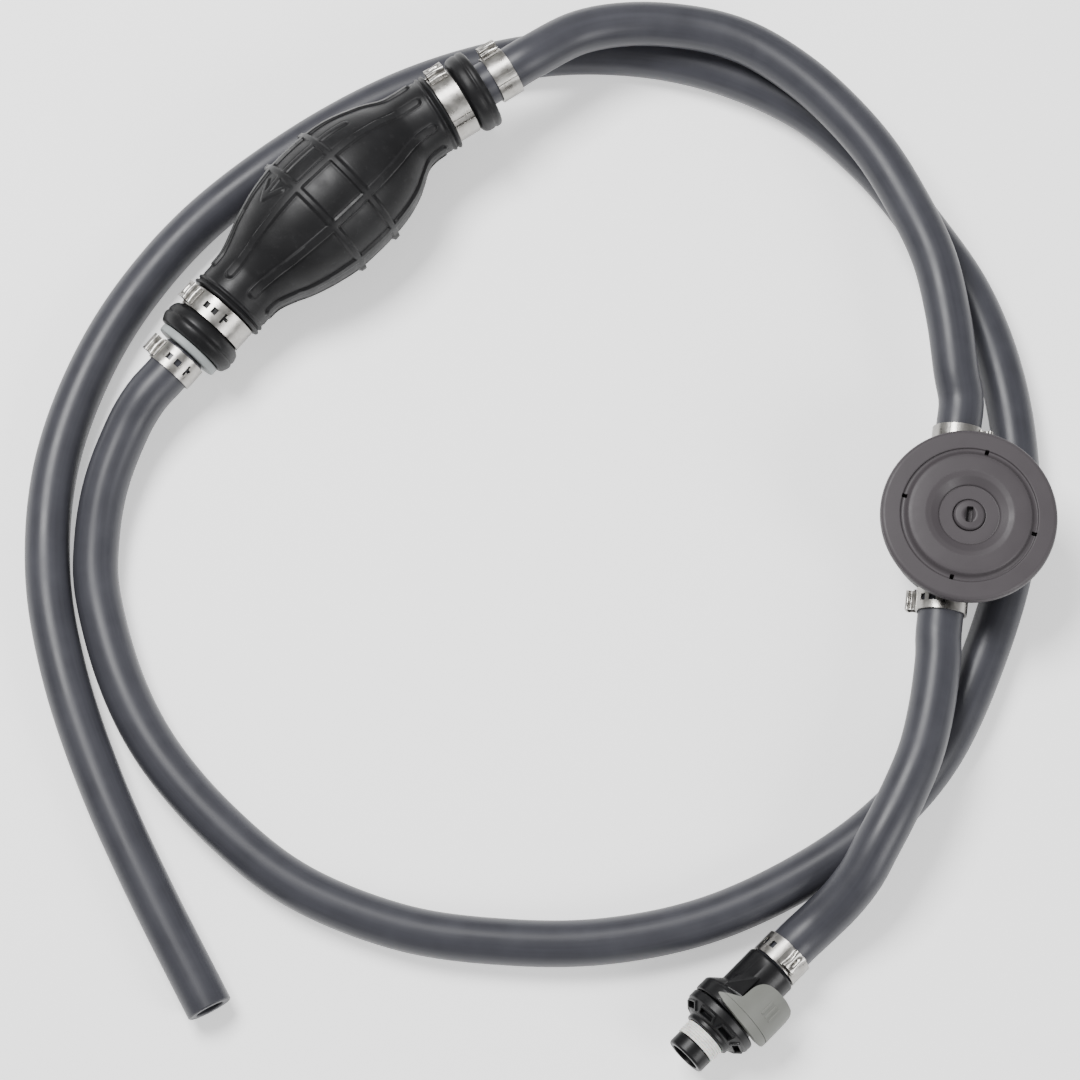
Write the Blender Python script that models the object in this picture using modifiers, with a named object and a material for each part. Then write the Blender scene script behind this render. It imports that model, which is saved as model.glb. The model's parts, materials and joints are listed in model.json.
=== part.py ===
"""Marine fuel line with a hand primer bulb, as a Blender assembly.

Fuel comes in through the taped tank fitting and its quick connector, runs through
a short hose to a demand valve, over a second hose to the primer bulb, and leaves
the bulb by the long hose, whose cut end is pushed onto an engine. The line lies
on a flat surface, in one open loop.

Metres, +Z up. The origin is under the middle of the bulb, valve and connector.
Round pieces are turned about the local Z axis of a frame (a matrix): the bulb's two
ends, the valve and the connector each have one. Distances along such an axis are
called "along" and distances from it "radius".
"""

import math

import bmesh
import bpy
from mathutils import Matrix, Vector

# ---------------------------------------------------------------- driving dimensions

GAP = 0.0003                    # left between two pieces that touch
ROUND = 20                      # sides of a large turned piece
SMALL = 12                      # sides of a small turned piece

HOSE_RADIUS = 0.00795           # 5/8 in outside
HOSE_WALL = 0.0030
HOSE_STEP = 0.026               # between the rings of a hose

BARB_RADIUS = 0.0043
BARB_BORE = 0.0028
BARB_GROOVE = 0.0005
BARB_PITCH = 0.0035

CLAMP_WIDTH = 0.0080
CLAMP_BAND = 0.0008
HOSE_CLAMP_INSIDE = 0.00825
BULB_CLAMP_INSIDE = 0.01210

BULB_CENTRE = Vector((-0.0928, 0.1238, 0.0256))
BULB_HEADING = math.radians(44.1)
BULB_RISE = math.radians(4.7)
BULB_INLET_END = 0.0690
BULB_OUTLET_END = -0.0710
BULB_NECK = 0.0140
BULB_BELLY = 0.0243
BULB_RIB = 0.0248
BULB_WALL = 0.0032
BULB_GROOVE = 0.0118            # radius of the seat under a bulb clamp
BULB_MOUTH = 0.0089
BEND_FROM = 0.026               # the necks bend between these distances
BEND_TO = 0.047
INLET_BEND = math.radians(12.5)
OUTLET_BEND = math.radians(5.0)
PRESS_HALF_WIDTH = 0.0125       # the part of the wall that a hand pushes in
PRESS_HALF_LENGTH = 0.0200

CHECK_CAVITY = 0.0062
CHECK_POPPET = 0.0046
PLUG_RADIUS = 0.0086

VALVE_AXIS = Vector((0.1293, 0.0055, 0.0))
VALVE_HEADING = math.radians(82.8)
VALVE_BODY = 0.0265
VALVE_DISC = 0.0305
VALVE_FLOW_OFFSET = 0.0048
VALVE_FLOW_HEIGHT = 0.0215

CONNECTOR_CENTRE = Vector((0.0489, -0.1583, 0.0137))
CONNECTOR_HEADING = math.radians(45.0)
CONNECTOR_RISE = math.radians(-3.0)
COLLAR_RADIUS = 0.0135
BARREL_RADIUS = 0.0095
SOCKET_RADIUS = 0.0066
STEM_RADIUS = 0.0061
LATCH_INSIDE = 0.0132
LATCH_OUTSIDE = 0.0164
LATCH_TRAVEL = 0.0020

OUTLET_HOSE_START = -0.0745     # along the bulb's axis
INLET_HOSE_START = 0.0693
VALVE_OUTLET_HOSE_START = 0.0266
VALVE_INLET_HOSE_START = -0.0232
CONNECTOR_HOSE_START = 0.0170

# The free part of each hose, between the straight stretches at its ends.
ENGINE_HOSE_ROUTE = [
    (-0.164, 0.043, 0.0150), (-0.171, 0.024, 0.0122), (-0.174, 0.004, 0.0096), (-0.173, -0.016, 0.0082),
    (-0.164, -0.046, 0.008), (-0.150, -0.072, 0.008), (-0.128, -0.097, 0.008), (-0.101, -0.118, 0.008),
    (-0.066, -0.132, 0.008), (-0.032, -0.137, 0.008), (0.003, -0.137, 0.008), (0.038, -0.130, 0.008),
    (0.0707, -0.1154, 0.008), (0.099, -0.096, 0.008), (0.121, -0.071, 0.008), (0.138, -0.035, 0.008),
    (0.149, 0.001, 0.008), (0.151, 0.032, 0.008), (0.147, 0.065, 0.008), (0.137, 0.095, 0.008),
    (0.121, 0.121, 0.008), (0.102, 0.146, 0.008), (0.077, 0.168, 0.008), (0.044, 0.183, 0.008),
    (0.010, 0.189, 0.008), (-0.026, 0.187, 0.008), (-0.065, 0.175, 0.008), (-0.102, 0.1545, 0.008),
    (-0.138, 0.126, 0.008), (-0.163, 0.096, 0.008), (-0.180, 0.064, 0.008), (-0.190, 0.029, 0.008),
    (-0.191, -0.008, 0.008), (-0.184, -0.043, 0.008), (-0.171, -0.079, 0.008), (-0.154, -0.115, 0.008),
    (-0.130, -0.160, 0.008),
]
VALVE_TO_BULB_ROUTE = [
    (0.1287, 0.062, 0.0228), (0.1265, 0.082, 0.0240), (0.122, 0.104, 0.0246), (0.113, 0.125, 0.0248),
    (0.101, 0.146, 0.0247), (0.084, 0.166, 0.0246), (0.067, 0.180, 0.0246), (0.052, 0.188, 0.0247),
    (0.035, 0.192, 0.0252), (0.015, 0.1925, 0.0267), (-0.004, 0.188, 0.0293),
]
CONNECTOR_TO_VALVE_ROUTE = [
    (0.0767, -0.1312, 0.0136), (0.0843, -0.1240, 0.0173), (0.0909, -0.1158, 0.0213),
    (0.0960, -0.1066, 0.0240), (0.1010, -0.0975, 0.0253), (0.1064, -0.0870, 0.0256),
    (0.1122, -0.0735, 0.0252), (0.1163, -0.0580, 0.0241), (0.1190, -0.0420, 0.0226),
]

# ---------------------------------------------------------------- scene and materials


def new_collection(name):
    collection = bpy.data.collections.new(name)
    bpy.context.scene.collection.children.link(collection)
    return collection


for left_over in list(bpy.data.objects):
    bpy.data.objects.remove(left_over, do_unlink=True)

PARTS = new_collection("siphon_bulb_pump")
CUTTERS = new_collection("cutters")


def material(name, colour, roughness, metallic=0.0):
    made = bpy.data.materials.new(name)
    made.use_nodes = True
    shader = made.node_tree.nodes["Principled BSDF"]
    shader.inputs["Base Color"].default_value = (*colour, 1.0)
    shader.inputs["Roughness"].default_value = roughness
    shader.inputs["Metallic"].default_value = metallic
    return made


BULB_RUBBER = ("bulb_rubber", (0.022, 0.022, 0.024), 0.55)
HOSE_RUBBER = ("hose_rubber", (0.060, 0.062, 0.075), 0.35)
BLACK_PLASTIC = ("black_plastic", (0.018, 0.018, 0.020), 0.45)
GREY_PLASTIC = ("grey_plastic", (0.160, 0.150, 0.160), 0.55)
PALE_PLASTIC = ("pale_plastic", (0.330, 0.340, 0.320), 0.50)
WHITE_TAPE = ("white_tape", (0.800, 0.790, 0.740), 0.60)
STAINLESS = ("stainless_steel", (0.560, 0.550, 0.530), 0.28, 1.0)
SEAL_RUBBER = ("seal_rubber", (0.030, 0.030, 0.030), 0.60)

# ---------------------------------------------------------------- modelling helpers


def add_object(name, data, look, frame=None, collection=PARTS):
    """An object in a collection, placed by a frame, with a material of its own."""
    made = bpy.data.objects.new(name, data)
    collection.objects.link(made)
    if frame is not None:
        made.matrix_world = frame
    if look is not None:
        data.materials.append(material(f"{name}_{look[0]}", *look[1:]))
    return made


def turned(name, profile, look, frame, sides=ROUND, collection=PARTS):
    """Turns a closed profile of (radius, along) points about the frame's Z axis.

    The points run down the outer side and back up the inner side or the axis.
    A profile that starts and ends on the axis stays open there.
    """
    mesh = bpy.data.meshes.new(name)
    edges = [(i, i + 1) for i in range(len(profile) - 1)]
    if profile[0][0] > 0 or profile[-1][0] > 0:
        edges.append((len(profile) - 1, 0))
    mesh.from_pydata([(radius, 0.0, along) for radius, along in profile], edges, [])
    made = add_object(name, mesh, look, frame, collection)
    screw = made.modifiers.new("turn", "SCREW")
    screw.steps = sides
    screw.render_steps = sides
    screw.use_merge_vertices = True
    screw.merge_threshold = 0.00001
    screw.use_smooth_shade = True
    return made


def ring(name, inside, outside, low, high, look, frame, sides=ROUND, collection=PARTS):
    return turned(name, [(outside, high), (outside, low), (inside, low), (inside, high)],
                  look, frame, sides, collection)


def cylinder(name, radius, low, high, look, frame, sides=SMALL, collection=PARTS):
    shape = bmesh.new()
    bmesh.ops.create_cone(shape, cap_ends=True, segments=sides, radius1=radius, radius2=radius,
                          depth=high - low)
    bmesh.ops.translate(shape, vec=(0.0, 0.0, (low + high) / 2), verts=shape.verts)
    mesh = bpy.data.meshes.new(name)
    shape.to_mesh(mesh)
    shape.free()
    mesh.shade_smooth()
    mesh.set_sharp_from_angle(angle=math.radians(40))
    return add_object(name, mesh, look, frame, collection)


def block(name, low, high, look, frame, collection=PARTS):
    """A box between two corners in the frame."""
    low, high = Vector(low), Vector(high)
    shape = bmesh.new()
    bmesh.ops.create_cube(shape, size=1.0)
    bmesh.ops.scale(shape, vec=high - low, verts=shape.verts)
    bmesh.ops.translate(shape, vec=(low + high) / 2, verts=shape.verts)
    mesh = bpy.data.meshes.new(name)
    shape.to_mesh(mesh)
    shape.free()
    return add_object(name, mesh, look, frame, collection)


def boolean(target, tool, operation):
    """Cuts, joins or intersects; the tool becomes a hidden guide."""
    for owner in list(tool.users_collection):
        owner.objects.unlink(tool)
    CUTTERS.objects.link(tool)
    tool.hide_render = True
    tool.display_type = "WIRE"
    modifier = target.modifiers.new(operation.lower(), "BOOLEAN")
    modifier.operation = operation
    modifier.object = tool


def settle(target):
    """Replaces an object's modifiers by the mesh that they make."""
    bpy.context.view_layer.update()
    evaluated = target.evaluated_get(bpy.context.evaluated_depsgraph_get())
    mesh = bpy.data.meshes.new_from_object(evaluated)
    target.modifiers.clear()
    target.data = mesh


def catmull_rom(before, start, end, after, share):
    """A point between start and end on the smooth curve through all four."""
    square, cube = share * share, share * share * share
    return 0.5 * (2 * start + (end - before) * share
                  + (2 * before - 5 * start + 4 * end - after) * square
                  + (3 * start - before - 3 * end + after) * cube)


def smooth_curve(points, per_span):
    """Points of a smooth curve through the given points."""
    points = [Vector(point) for point in points]
    padded = [2 * points[0] - points[1]] + points + [2 * points[-1] - points[-2]]
    smooth = []
    for i in range(len(points) - 1):
        for step in range(per_span):
            smooth.append(catmull_rom(*padded[i:i + 4], step / per_span))
    return smooth + [points[-1]]


def evenly_spaced(points, spacing):
    """Points at an even distance of about the spacing along a fine polyline."""
    lengths = [0.0]
    for before, after in zip(points, points[1:]):
        lengths.append(lengths[-1] + (after - before).length)
    count = max(2, round(lengths[-1] / spacing))
    even = []
    span = 0
    for i in range(count + 1):
        distance = lengths[-1] * i / count
        while span < len(lengths) - 2 and lengths[span + 1] < distance:
            span += 1
        share = (distance - lengths[span]) / (lengths[span + 1] - lengths[span])
        even.append(points[span].lerp(points[span + 1], share))
    return even


def poly_curve(name, points, radius, bevel_resolution):
    curve = bpy.data.curves.new(name, "CURVE")
    curve.dimensions = "3D"
    curve.bevel_depth = radius
    curve.bevel_resolution = bevel_resolution
    curve.render_resolution_u = 0
    spline = curve.splines.new("POLY")
    spline.points.add(len(points) - 1)
    for spline_point, place in zip(spline.points, points):
        spline_point.co = (*place, 1.0)
    return curve


def hose(name, start, route, end):
    """A hollow hose, straight between the points of its start and of its end."""
    smooth = smooth_curve(start + route + end, 24)
    straight_start = 24 * (len(start) - 1)
    straight_end = 24 * max(len(end) - 1, 0)
    bent = smooth[straight_start:len(smooth) - straight_end]
    points = start[:1] + evenly_spaced(bent, HOSE_STEP) + end[-1:]
    curve = poly_curve(name, points, HOSE_RADIUS, 2)
    made = add_object(name, curve, HOSE_RUBBER)
    wall = made.modifiers.new("wall", "SOLIDIFY")
    wall.thickness = HOSE_WALL
    wall.offset = -1.0
    wall.use_even_offset = True


def coil_spring(name, frame, low, high, radius, wire, turns):
    """A compression spring about the frame's Z axis, from low to high."""
    steps = 8 * turns
    bottom, top = low + wire, high - wire
    points = []
    for i in range(steps + 1):
        angle = math.tau * i / 8
        points.append(Vector((radius * math.cos(angle), radius * math.sin(angle),
                              bottom + (top - bottom) * i / steps)))
    curve = poly_curve(name, points, wire, 1)
    curve.use_fill_caps = True
    add_object(name, curve, STAINLESS, frame)


def barb_profile(root, tip, direction):
    """The outside of a hose barb, from its root to its tip, as (radius, along)."""
    profile = [(BARB_RADIUS, root)]
    ridge = root + direction * 2 * BARB_PITCH
    while direction * (tip - ridge) > BARB_PITCH:
        profile.append((BARB_RADIUS, ridge))
        profile.append((BARB_RADIUS - BARB_GROOVE, ridge + direction * 0.0002))
        ridge += direction * BARB_PITCH
    profile.append((BARB_RADIUS, ridge))
    profile.append((BARB_RADIUS - 2 * BARB_GROOVE, tip))
    return profile


def ear_clamp(name, frame, middle, inside, ear_angle):
    """A stainless band round a hose with one crimped ear."""
    low, high = middle - CLAMP_WIDTH / 2, middle + CLAMP_WIDTH / 2
    turn = frame @ Matrix.Rotation(ear_angle, 4, "Z")
    band = ring(name, inside, inside + CLAMP_BAND, low, high, STAINLESS, turn, ROUND)
    ear_top = inside + CLAMP_BAND + 0.0032
    inset = 0.0006
    ear = block(f"{name}_ear", (inside + CLAMP_BAND / 2, -0.0027, low + inset),
                (ear_top, 0.0027, high - inset), None, turn)
    slot = block(f"{name}_ear_slot", (inside + CLAMP_BAND + 0.0008, -0.0016, low - inset),
                 (ear_top - 0.0009, 0.0016, high + inset), None, turn)
    boolean(band, ear, "UNION")
    boolean(band, slot, "DIFFERENCE")


# ---------------------------------------------------------------- frames


def axis_frame(origin, heading, rise):
    """Z along the heading and rise, Y up, X to the left."""
    left = Vector((-math.sin(heading), math.cos(heading), 0.0))
    along = Vector((math.cos(heading) * math.cos(rise), math.sin(heading) * math.cos(rise),
                    math.sin(rise)))
    up = along.cross(left)
    frame = Matrix((left, up, along)).transposed().to_4x4()
    frame.translation = origin
    return frame


def bulb_bend(along):
    """Where a point of the bulb's axis lies once the necks are bent, and its turn."""
    side = 1.0 if along > 0 else -1.0
    full = INLET_BEND if along > 0 else OUTLET_BEND
    inside = min(max(abs(along) - BEND_FROM, 0.0), BEND_TO - BEND_FROM)
    beyond = max(abs(along) - BEND_TO, 0.0)
    radius = (BEND_TO - BEND_FROM) / full
    turn = inside / radius
    sideways = -radius * (1 - math.cos(turn)) - beyond * math.sin(turn)
    forward = min(abs(along), BEND_FROM) + radius * math.sin(turn) + beyond * math.cos(turn)
    return Vector((sideways, 0.0, side * forward)), -side * turn


def bulb_end_frame(side):
    """The straight frame of one end, whose Z axis keeps the bulb's own distances."""
    place, turn = bulb_bend(side * BEND_TO)
    return (BULB_FRAME @ Matrix.Translation(place) @ Matrix.Rotation(turn, 4, "Y")
            @ Matrix.Translation((0.0, 0.0, -side * BEND_TO)))


BULB_FRAME = axis_frame(BULB_CENTRE, BULB_HEADING, BULB_RISE)
INLET_FRAME = bulb_end_frame(1.0)
OUTLET_FRAME = bulb_end_frame(-1.0)
CONNECTOR_FRAME = axis_frame(CONNECTOR_CENTRE, CONNECTOR_HEADING, CONNECTOR_RISE)
VALVE_FRAME = Matrix.Translation(VALVE_AXIS) @ Matrix.Rotation(VALVE_HEADING, 4, "Z")
FLOW_FRAME = (VALVE_FRAME @ Matrix.Translation((0.0, VALVE_FLOW_OFFSET, VALVE_FLOW_HEIGHT))
              @ Matrix.Rotation(math.radians(90), 4, "Y"))


def on_axis(frame, along):
    return frame @ Vector((0.0, 0.0, along))


# ---------------------------------------------------------------- primer bulb


def bulb_profile():
    """Outside from the inlet lip to the outlet lip, then back up inside the wall."""
    inlet_lip = [
        (0.0120, BULB_INLET_END), (0.0139, 0.0680), (0.0147, 0.0660), (0.0145, 0.0630), (0.0132, 0.0612),
        (BULB_GROOVE, 0.0610), (BULB_GROOVE, 0.0522), (0.0143, 0.0520), (0.0144, 0.0508),
    ]
    inlet_shoulder = [
        (BULB_NECK, 0.0502), (BULB_NECK, 0.0400), (0.0150, 0.0359), (0.0188, 0.0287), (0.0217, 0.0215),
        (0.0234, 0.0144),
    ]
    ribs = []
    for middle in (0.0115, -0.0050):
        ribs += [(BULB_BELLY - 0.0003, middle + 0.0014), (BULB_RIB, middle + 0.0009),
                 (BULB_RIB, middle - 0.0009), (BULB_BELLY - 0.0003, middle - 0.0014)]
    outlet_shoulder = [
        (0.0238, -0.0090), (0.0220, -0.0180), (0.0193, -0.0269), (0.0169, -0.0323), (0.0148, -0.0377),
        (BULB_NECK, -0.0410), (BULB_NECK, -0.0505),
    ]
    outlet_lip = [
        (0.0145, -0.0512), (0.0143, -0.0526), (BULB_GROOVE, -0.0530), (BULB_GROOVE, -0.0619),
        (0.0132, -0.0621), (0.0145, -0.0640), (0.0148, -0.0670), (0.0140, -0.0695),
        (0.0122, BULB_OUTLET_END),
    ]
    inside = [(BULB_MOUTH, BULB_OUTLET_END), (BULB_MOUTH, -0.0475), (0.0106, -0.0450)]
    inside += [(radius - BULB_WALL, along) for radius, along in reversed(outlet_shoulder[:5])]
    inside += [(BULB_BELLY - BULB_WALL, along) for along in (0.0, 0.0070)]
    inside += [(radius - BULB_WALL, along) for radius, along in reversed(inlet_shoulder[2:])]
    inside += [(0.0106, 0.0450), (BULB_MOUTH, 0.0475), (BULB_MOUTH, BULB_INLET_END)]
    return inlet_lip + inlet_shoulder + ribs + outlet_shoulder + outlet_lip + inside


def bulb_shell(name):
    """The whole bulb with its necks bent."""
    shell = turned(name, bulb_profile(), BULB_RUBBER, BULB_FRAME)
    settle(shell)
    for vertex in shell.data.vertices:
        place, turn = bulb_bend(vertex.co.z)
        section = Vector((vertex.co.x, vertex.co.y, 0.0))
        vertex.co = place + Matrix.Rotation(turn, 3, "Y") @ section
    return shell


def press_column(name, clearance):
    """An upright oval column through the top of the belly."""
    upright = BULB_FRAME @ Matrix.Rotation(math.radians(-90), 4, "X")
    column = cylinder(name, 1.0, BULB_NECK - 0.004, BULB_RIB + 0.004, None, upright, ROUND)
    for vertex in column.data.vertices:
        vertex.co.x *= PRESS_HALF_WIDTH - clearance
        vertex.co.y *= PRESS_HALF_LENGTH - clearance
    return column


def build_bulb():
    body = bulb_shell("bulb_body")
    boolean(body, press_column("press_opening", 0.0), "DIFFERENCE")
    wall = bulb_shell("bulb_press_wall")
    boolean(wall, press_column("press_outline", GAP), "INTERSECT")


def build_inlet_check():
    """The inlet end: fuel pushes the poppet off its seat, towards the bulb."""
    mouth, seat, root, tip = 0.0480, 0.0600, INLET_HOSE_START - GAP, 0.0900
    profile = [(BARB_BORE, tip)]
    profile += list(reversed(barb_profile(root, tip, 1.0)))
    profile += [
        (PLUG_RADIUS, root), (PLUG_RADIUS, mouth + 0.0006), (PLUG_RADIUS - 0.0006, mouth),
        (CHECK_CAVITY, mouth), (CHECK_CAVITY, seat), (BARB_BORE, seat),
    ]
    turned("inlet_fitting", profile, PALE_PLASTIC, INLET_FRAME)
    turned("inlet_poppet", [
        (0.0, seat - GAP), (CHECK_POPPET, seat - GAP), (CHECK_POPPET, seat - 0.0015),
        (0.0012, seat - 0.0015), (0.0012, mouth + 0.0004), (0.0, mouth + 0.0004),
    ], BLACK_PLASTIC, INLET_FRAME, SMALL)
    coil_spring("inlet_spring", INLET_FRAME, mouth + 0.0024, seat - 0.0018, 0.0031, 0.0003, 4)
    retainer = ring("inlet_retainer", 0.0016, CHECK_CAVITY - GAP, mouth + 0.0003, mouth + 0.0021,
                    BLACK_PLASTIC, INLET_FRAME, SMALL)
    cut_windows(retainer, INLET_FRAME, mouth, mouth + 0.0030)


def cut_windows(retainer, frame, low, high):
    """Three round flow holes between a retainer's hub and its rim."""
    for i in range(3):
        angle = math.tau * i / 3
        place = Matrix.Translation((0.0038 * math.cos(angle), 0.0038 * math.sin(angle), 0.0))
        hole = cylinder(f"{retainer.name}_window_{i}", 0.0013, low, high, None, frame @ place, 12)
        boolean(retainer, hole, "DIFFERENCE")


def build_outlet_check():
    """The outlet end: squeezed fuel pushes the poppet away from the bulb."""
    mouth, end, root, tip = -0.0480, -0.0640, BULB_OUTLET_END - GAP, -0.0950
    flange_end = OUTLET_HOSE_START + GAP
    profile = [
        (PLUG_RADIUS - 0.0006, mouth), (PLUG_RADIUS, mouth - 0.0006), (PLUG_RADIUS, root),
        (0.0119, root), (0.0123, root - 0.0004), (0.0123, flange_end + 0.0005), (0.0118, flange_end),
    ]
    profile += barb_profile(flange_end, tip, -1.0)
    profile += [(BARB_BORE, tip), (BARB_BORE, end), (CHECK_CAVITY, end), (CHECK_CAVITY, mouth)]
    turned("outlet_fitting", profile, PALE_PLASTIC, OUTLET_FRAME)
    ring("outlet_seat", 0.0030, CHECK_CAVITY - GAP, mouth - 0.0023, mouth - 0.0003,
         BLACK_PLASTIC, OUTLET_FRAME, SMALL)
    head = mouth - 0.0026
    turned("outlet_poppet", [
        (0.0, head), (CHECK_POPPET, head), (CHECK_POPPET, head - 0.0012), (0.0012, head - 0.0012),
        (0.0012, head - 0.0090), (0.0, head - 0.0090),
    ], BLACK_PLASTIC, OUTLET_FRAME, SMALL)
    coil_spring("outlet_spring", OUTLET_FRAME, end + 0.0003, head - 0.0015, 0.0040, 0.0003, 4)


def build_bulb_clamps():
    ear_clamp("bulb_clamp_outlet", OUTLET_FRAME, -0.0575, BULB_CLAMP_INSIDE, math.radians(42))
    ear_clamp("bulb_clamp_inlet", INLET_FRAME, 0.0566, BULB_CLAMP_INSIDE, math.radians(46))
    ear_clamp("hose_clamp_outlet", OUTLET_FRAME, -0.0795, HOSE_CLAMP_INSIDE, math.radians(28))
    ear_clamp("hose_clamp_inlet", INLET_FRAME, 0.0774, HOSE_CLAMP_INSIDE, math.radians(30))


# ---------------------------------------------------------------- demand valve


def build_valve_body():
    """Housing with a rear boss, two barbs, the inlet chamber and the outlet passage."""
    body = turned("valve_body", [
        (0.0260, 0.0340), (VALVE_BODY, 0.0334), (VALVE_BODY, 0.0190), (0.0245, 0.0170), (0.0105, 0.0170),
        (0.0105, 0.0006), (0.0099, 0.0), (0.0085, 0.0), (0.0085, 0.0043), (0.0065, 0.0043),
        (0.0065, 0.0245), (0.0040, 0.0245), (0.0040, 0.0253), (0.0053, 0.0253), (0.0053, 0.0275),
        (0.0220, 0.0275), (0.0220, 0.0340),
    ], BLACK_PLASTIC, VALVE_FRAME)
    notch = cylinder("inlet_hose_notch", HOSE_CLAMP_INSIDE + CLAMP_BAND + 0.0004, -0.0300,
                     VALVE_INLET_HOSE_START + GAP, None, FLOW_FRAME, ROUND)
    boolean(body, notch, "DIFFERENCE")
    for name, root, tip, direction in (("outlet_barb", 0.0240, 0.0460, 1.0),
                                       ("inlet_barb", -0.0210, -0.0400, -1.0)):
        outside = barb_profile(root, tip, direction)
        if direction > 0:
            outside.reverse()
        top, bottom = outside[0][1], outside[-1][1]
        barb = turned(name, [(0.0, top), *outside, (0.0, bottom)], None, FLOW_FRAME, SMALL)
        boolean(body, barb, "UNION")
    passages = (("outlet_bore", FLOW_FRAME, 0.0140, 0.0480), ("inlet_bore", FLOW_FRAME, -0.0450, -0.0013))
    for name, frame, low, high in passages:
        boolean(body, cylinder(name, BARB_BORE, low, high, None, frame, 14), "DIFFERENCE")
    riser_place = VALVE_FRAME @ Matrix.Translation((0.0150, VALVE_FLOW_OFFSET, 0.0))
    riser = cylinder("outlet_riser", BARB_BORE, VALVE_FLOW_HEIGHT, 0.0300, None, riser_place, 14)
    boolean(body, riser, "DIFFERENCE")


def build_valve_cover():
    """The round vented disc that holds the diaphragm down."""
    cover = turned("valve_cover", [
        (0.0106, 0.0385), (0.0110, 0.0393), (0.0136, 0.0406), (0.0152, 0.0410), (0.0196, 0.0407),
        (0.0216, 0.0403), (0.0227, 0.0392), (0.0234, 0.0389), (0.0240, 0.0392), (0.0292, 0.0392),
        (0.0301, 0.0386), (VALVE_DISC, 0.0376), (VALVE_DISC, 0.0360), (0.0301, 0.0356),
        (0.0195, 0.0356), (0.0195, 0.0372), (0.0058, 0.0372), (0.0058, 0.0385),
    ], GREY_PLASTIC, VALVE_FRAME)
    for i in range(4):
        turn = VALVE_FRAME @ Matrix.Rotation(math.radians(17 + 90 * i), 4, "Z")
        slit = block(f"vent_{i}", (0.0221, -0.0007, 0.0340), (0.0238, 0.0007, 0.0420), None, turn)
        boolean(cover, slit, "DIFFERENCE")


def build_valve_inside():
    """Button, plate and poppet travel together; the spring lifts them."""
    button = turned("release_button", [
        (0.0, 0.0397), (0.0030, 0.0397), (0.0048, 0.0394), (0.0054, 0.0388), (0.0054, 0.0369),
        (0.0072, 0.0369), (0.0072, 0.0365), (0.0, 0.0365),
    ], GREY_PLASTIC, VALVE_FRAME, SMALL)
    slot = block("button_slot", (-0.0027, -0.0008, 0.0385), (0.0027, 0.0008, 0.0410), None, VALVE_FRAME)
    boolean(button, slot, "DIFFERENCE")
    cylinder("diaphragm_plate", 0.0120, 0.0356, 0.0362, STAINLESS, VALVE_FRAME, ROUND)
    turned("valve_diaphragm", [
        (0.0, 0.0353), (0.0140, 0.0353), (0.0155, 0.0363), (0.0175, 0.0363), (0.0188, 0.0353),
        (0.0245, 0.0353), (0.0245, 0.0343), (0.0182, 0.0343), (0.0170, 0.0353), (0.0160, 0.0353),
        (0.0148, 0.0343), (0.0, 0.0343),
    ], SEAL_RUBBER, VALVE_FRAME)
    turned("valve_poppet", [
        (0.0, 0.0340), (0.0013, 0.0340), (0.0013, 0.0253), (0.0036, 0.0253), (0.0036, 0.0225),
        (0.0, 0.0225),
    ], BLACK_PLASTIC, VALVE_FRAME, SMALL)
    ring("valve_seat", 0.0024, 0.0050, 0.0256, 0.0272, SEAL_RUBBER, VALVE_FRAME, SMALL)
    coil_spring("valve_spring", VALVE_FRAME, 0.0043, 0.0222, 0.0030, 0.0004, 6)
    cylinder("valve_rear_plug", 0.0082, 0.0, 0.0040, BLACK_PLASTIC, VALVE_FRAME, ROUND)


def build_valve_clamps():
    outlet_middle = VALVE_OUTLET_HOSE_START + 0.0005 + CLAMP_WIDTH / 2
    inlet_middle = VALVE_INLET_HOSE_START - 0.0005 - CLAMP_WIDTH / 2
    ear_clamp("valve_clamp_outlet", FLOW_FRAME, outlet_middle, HOSE_CLAMP_INSIDE, math.radians(-105))
    ear_clamp("valve_clamp_inlet", FLOW_FRAME, inlet_middle, HOSE_CLAMP_INSIDE, math.radians(70))


# ---------------------------------------------------------------- quick connector


def build_connector_body():
    """The socket half, with the hose barb behind it and a recess under the latch."""
    tip, root = 0.0300, 0.0167
    profile = [(BARB_BORE, tip)]
    profile += list(reversed(barb_profile(root, tip, 1.0)))
    profile += [
        (0.0089, root), (BARREL_RADIUS, root - 0.0006), (BARREL_RADIUS, 0.0022), (0.0129, -0.0010),
        (COLLAR_RADIUS, -0.0018), (COLLAR_RADIUS, -0.0062), (0.0130, -0.0067), (SOCKET_RADIUS, -0.0067),
        (SOCKET_RADIUS, 0.0145), (BARB_BORE, 0.0145),
    ]
    body = turned("connector_body", profile, BLACK_PLASTIC, CONNECTOR_FRAME)
    shifted = CONNECTOR_FRAME @ Matrix.Translation((LATCH_TRAVEL + GAP, 0.0, 0.0))
    recess = ring("latch_recess", LATCH_INSIDE - GAP, 0.0200, -0.0075, 0.0040, None, shifted)
    side = block("latch_recess_side", (-0.0210, -0.0100, -0.0100), (0.0045, 0.0210, 0.0060), None,
                 CONNECTOR_FRAME)
    boolean(recess, side, "INTERSECT")
    boolean(body, recess, "DIFFERENCE")


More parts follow.
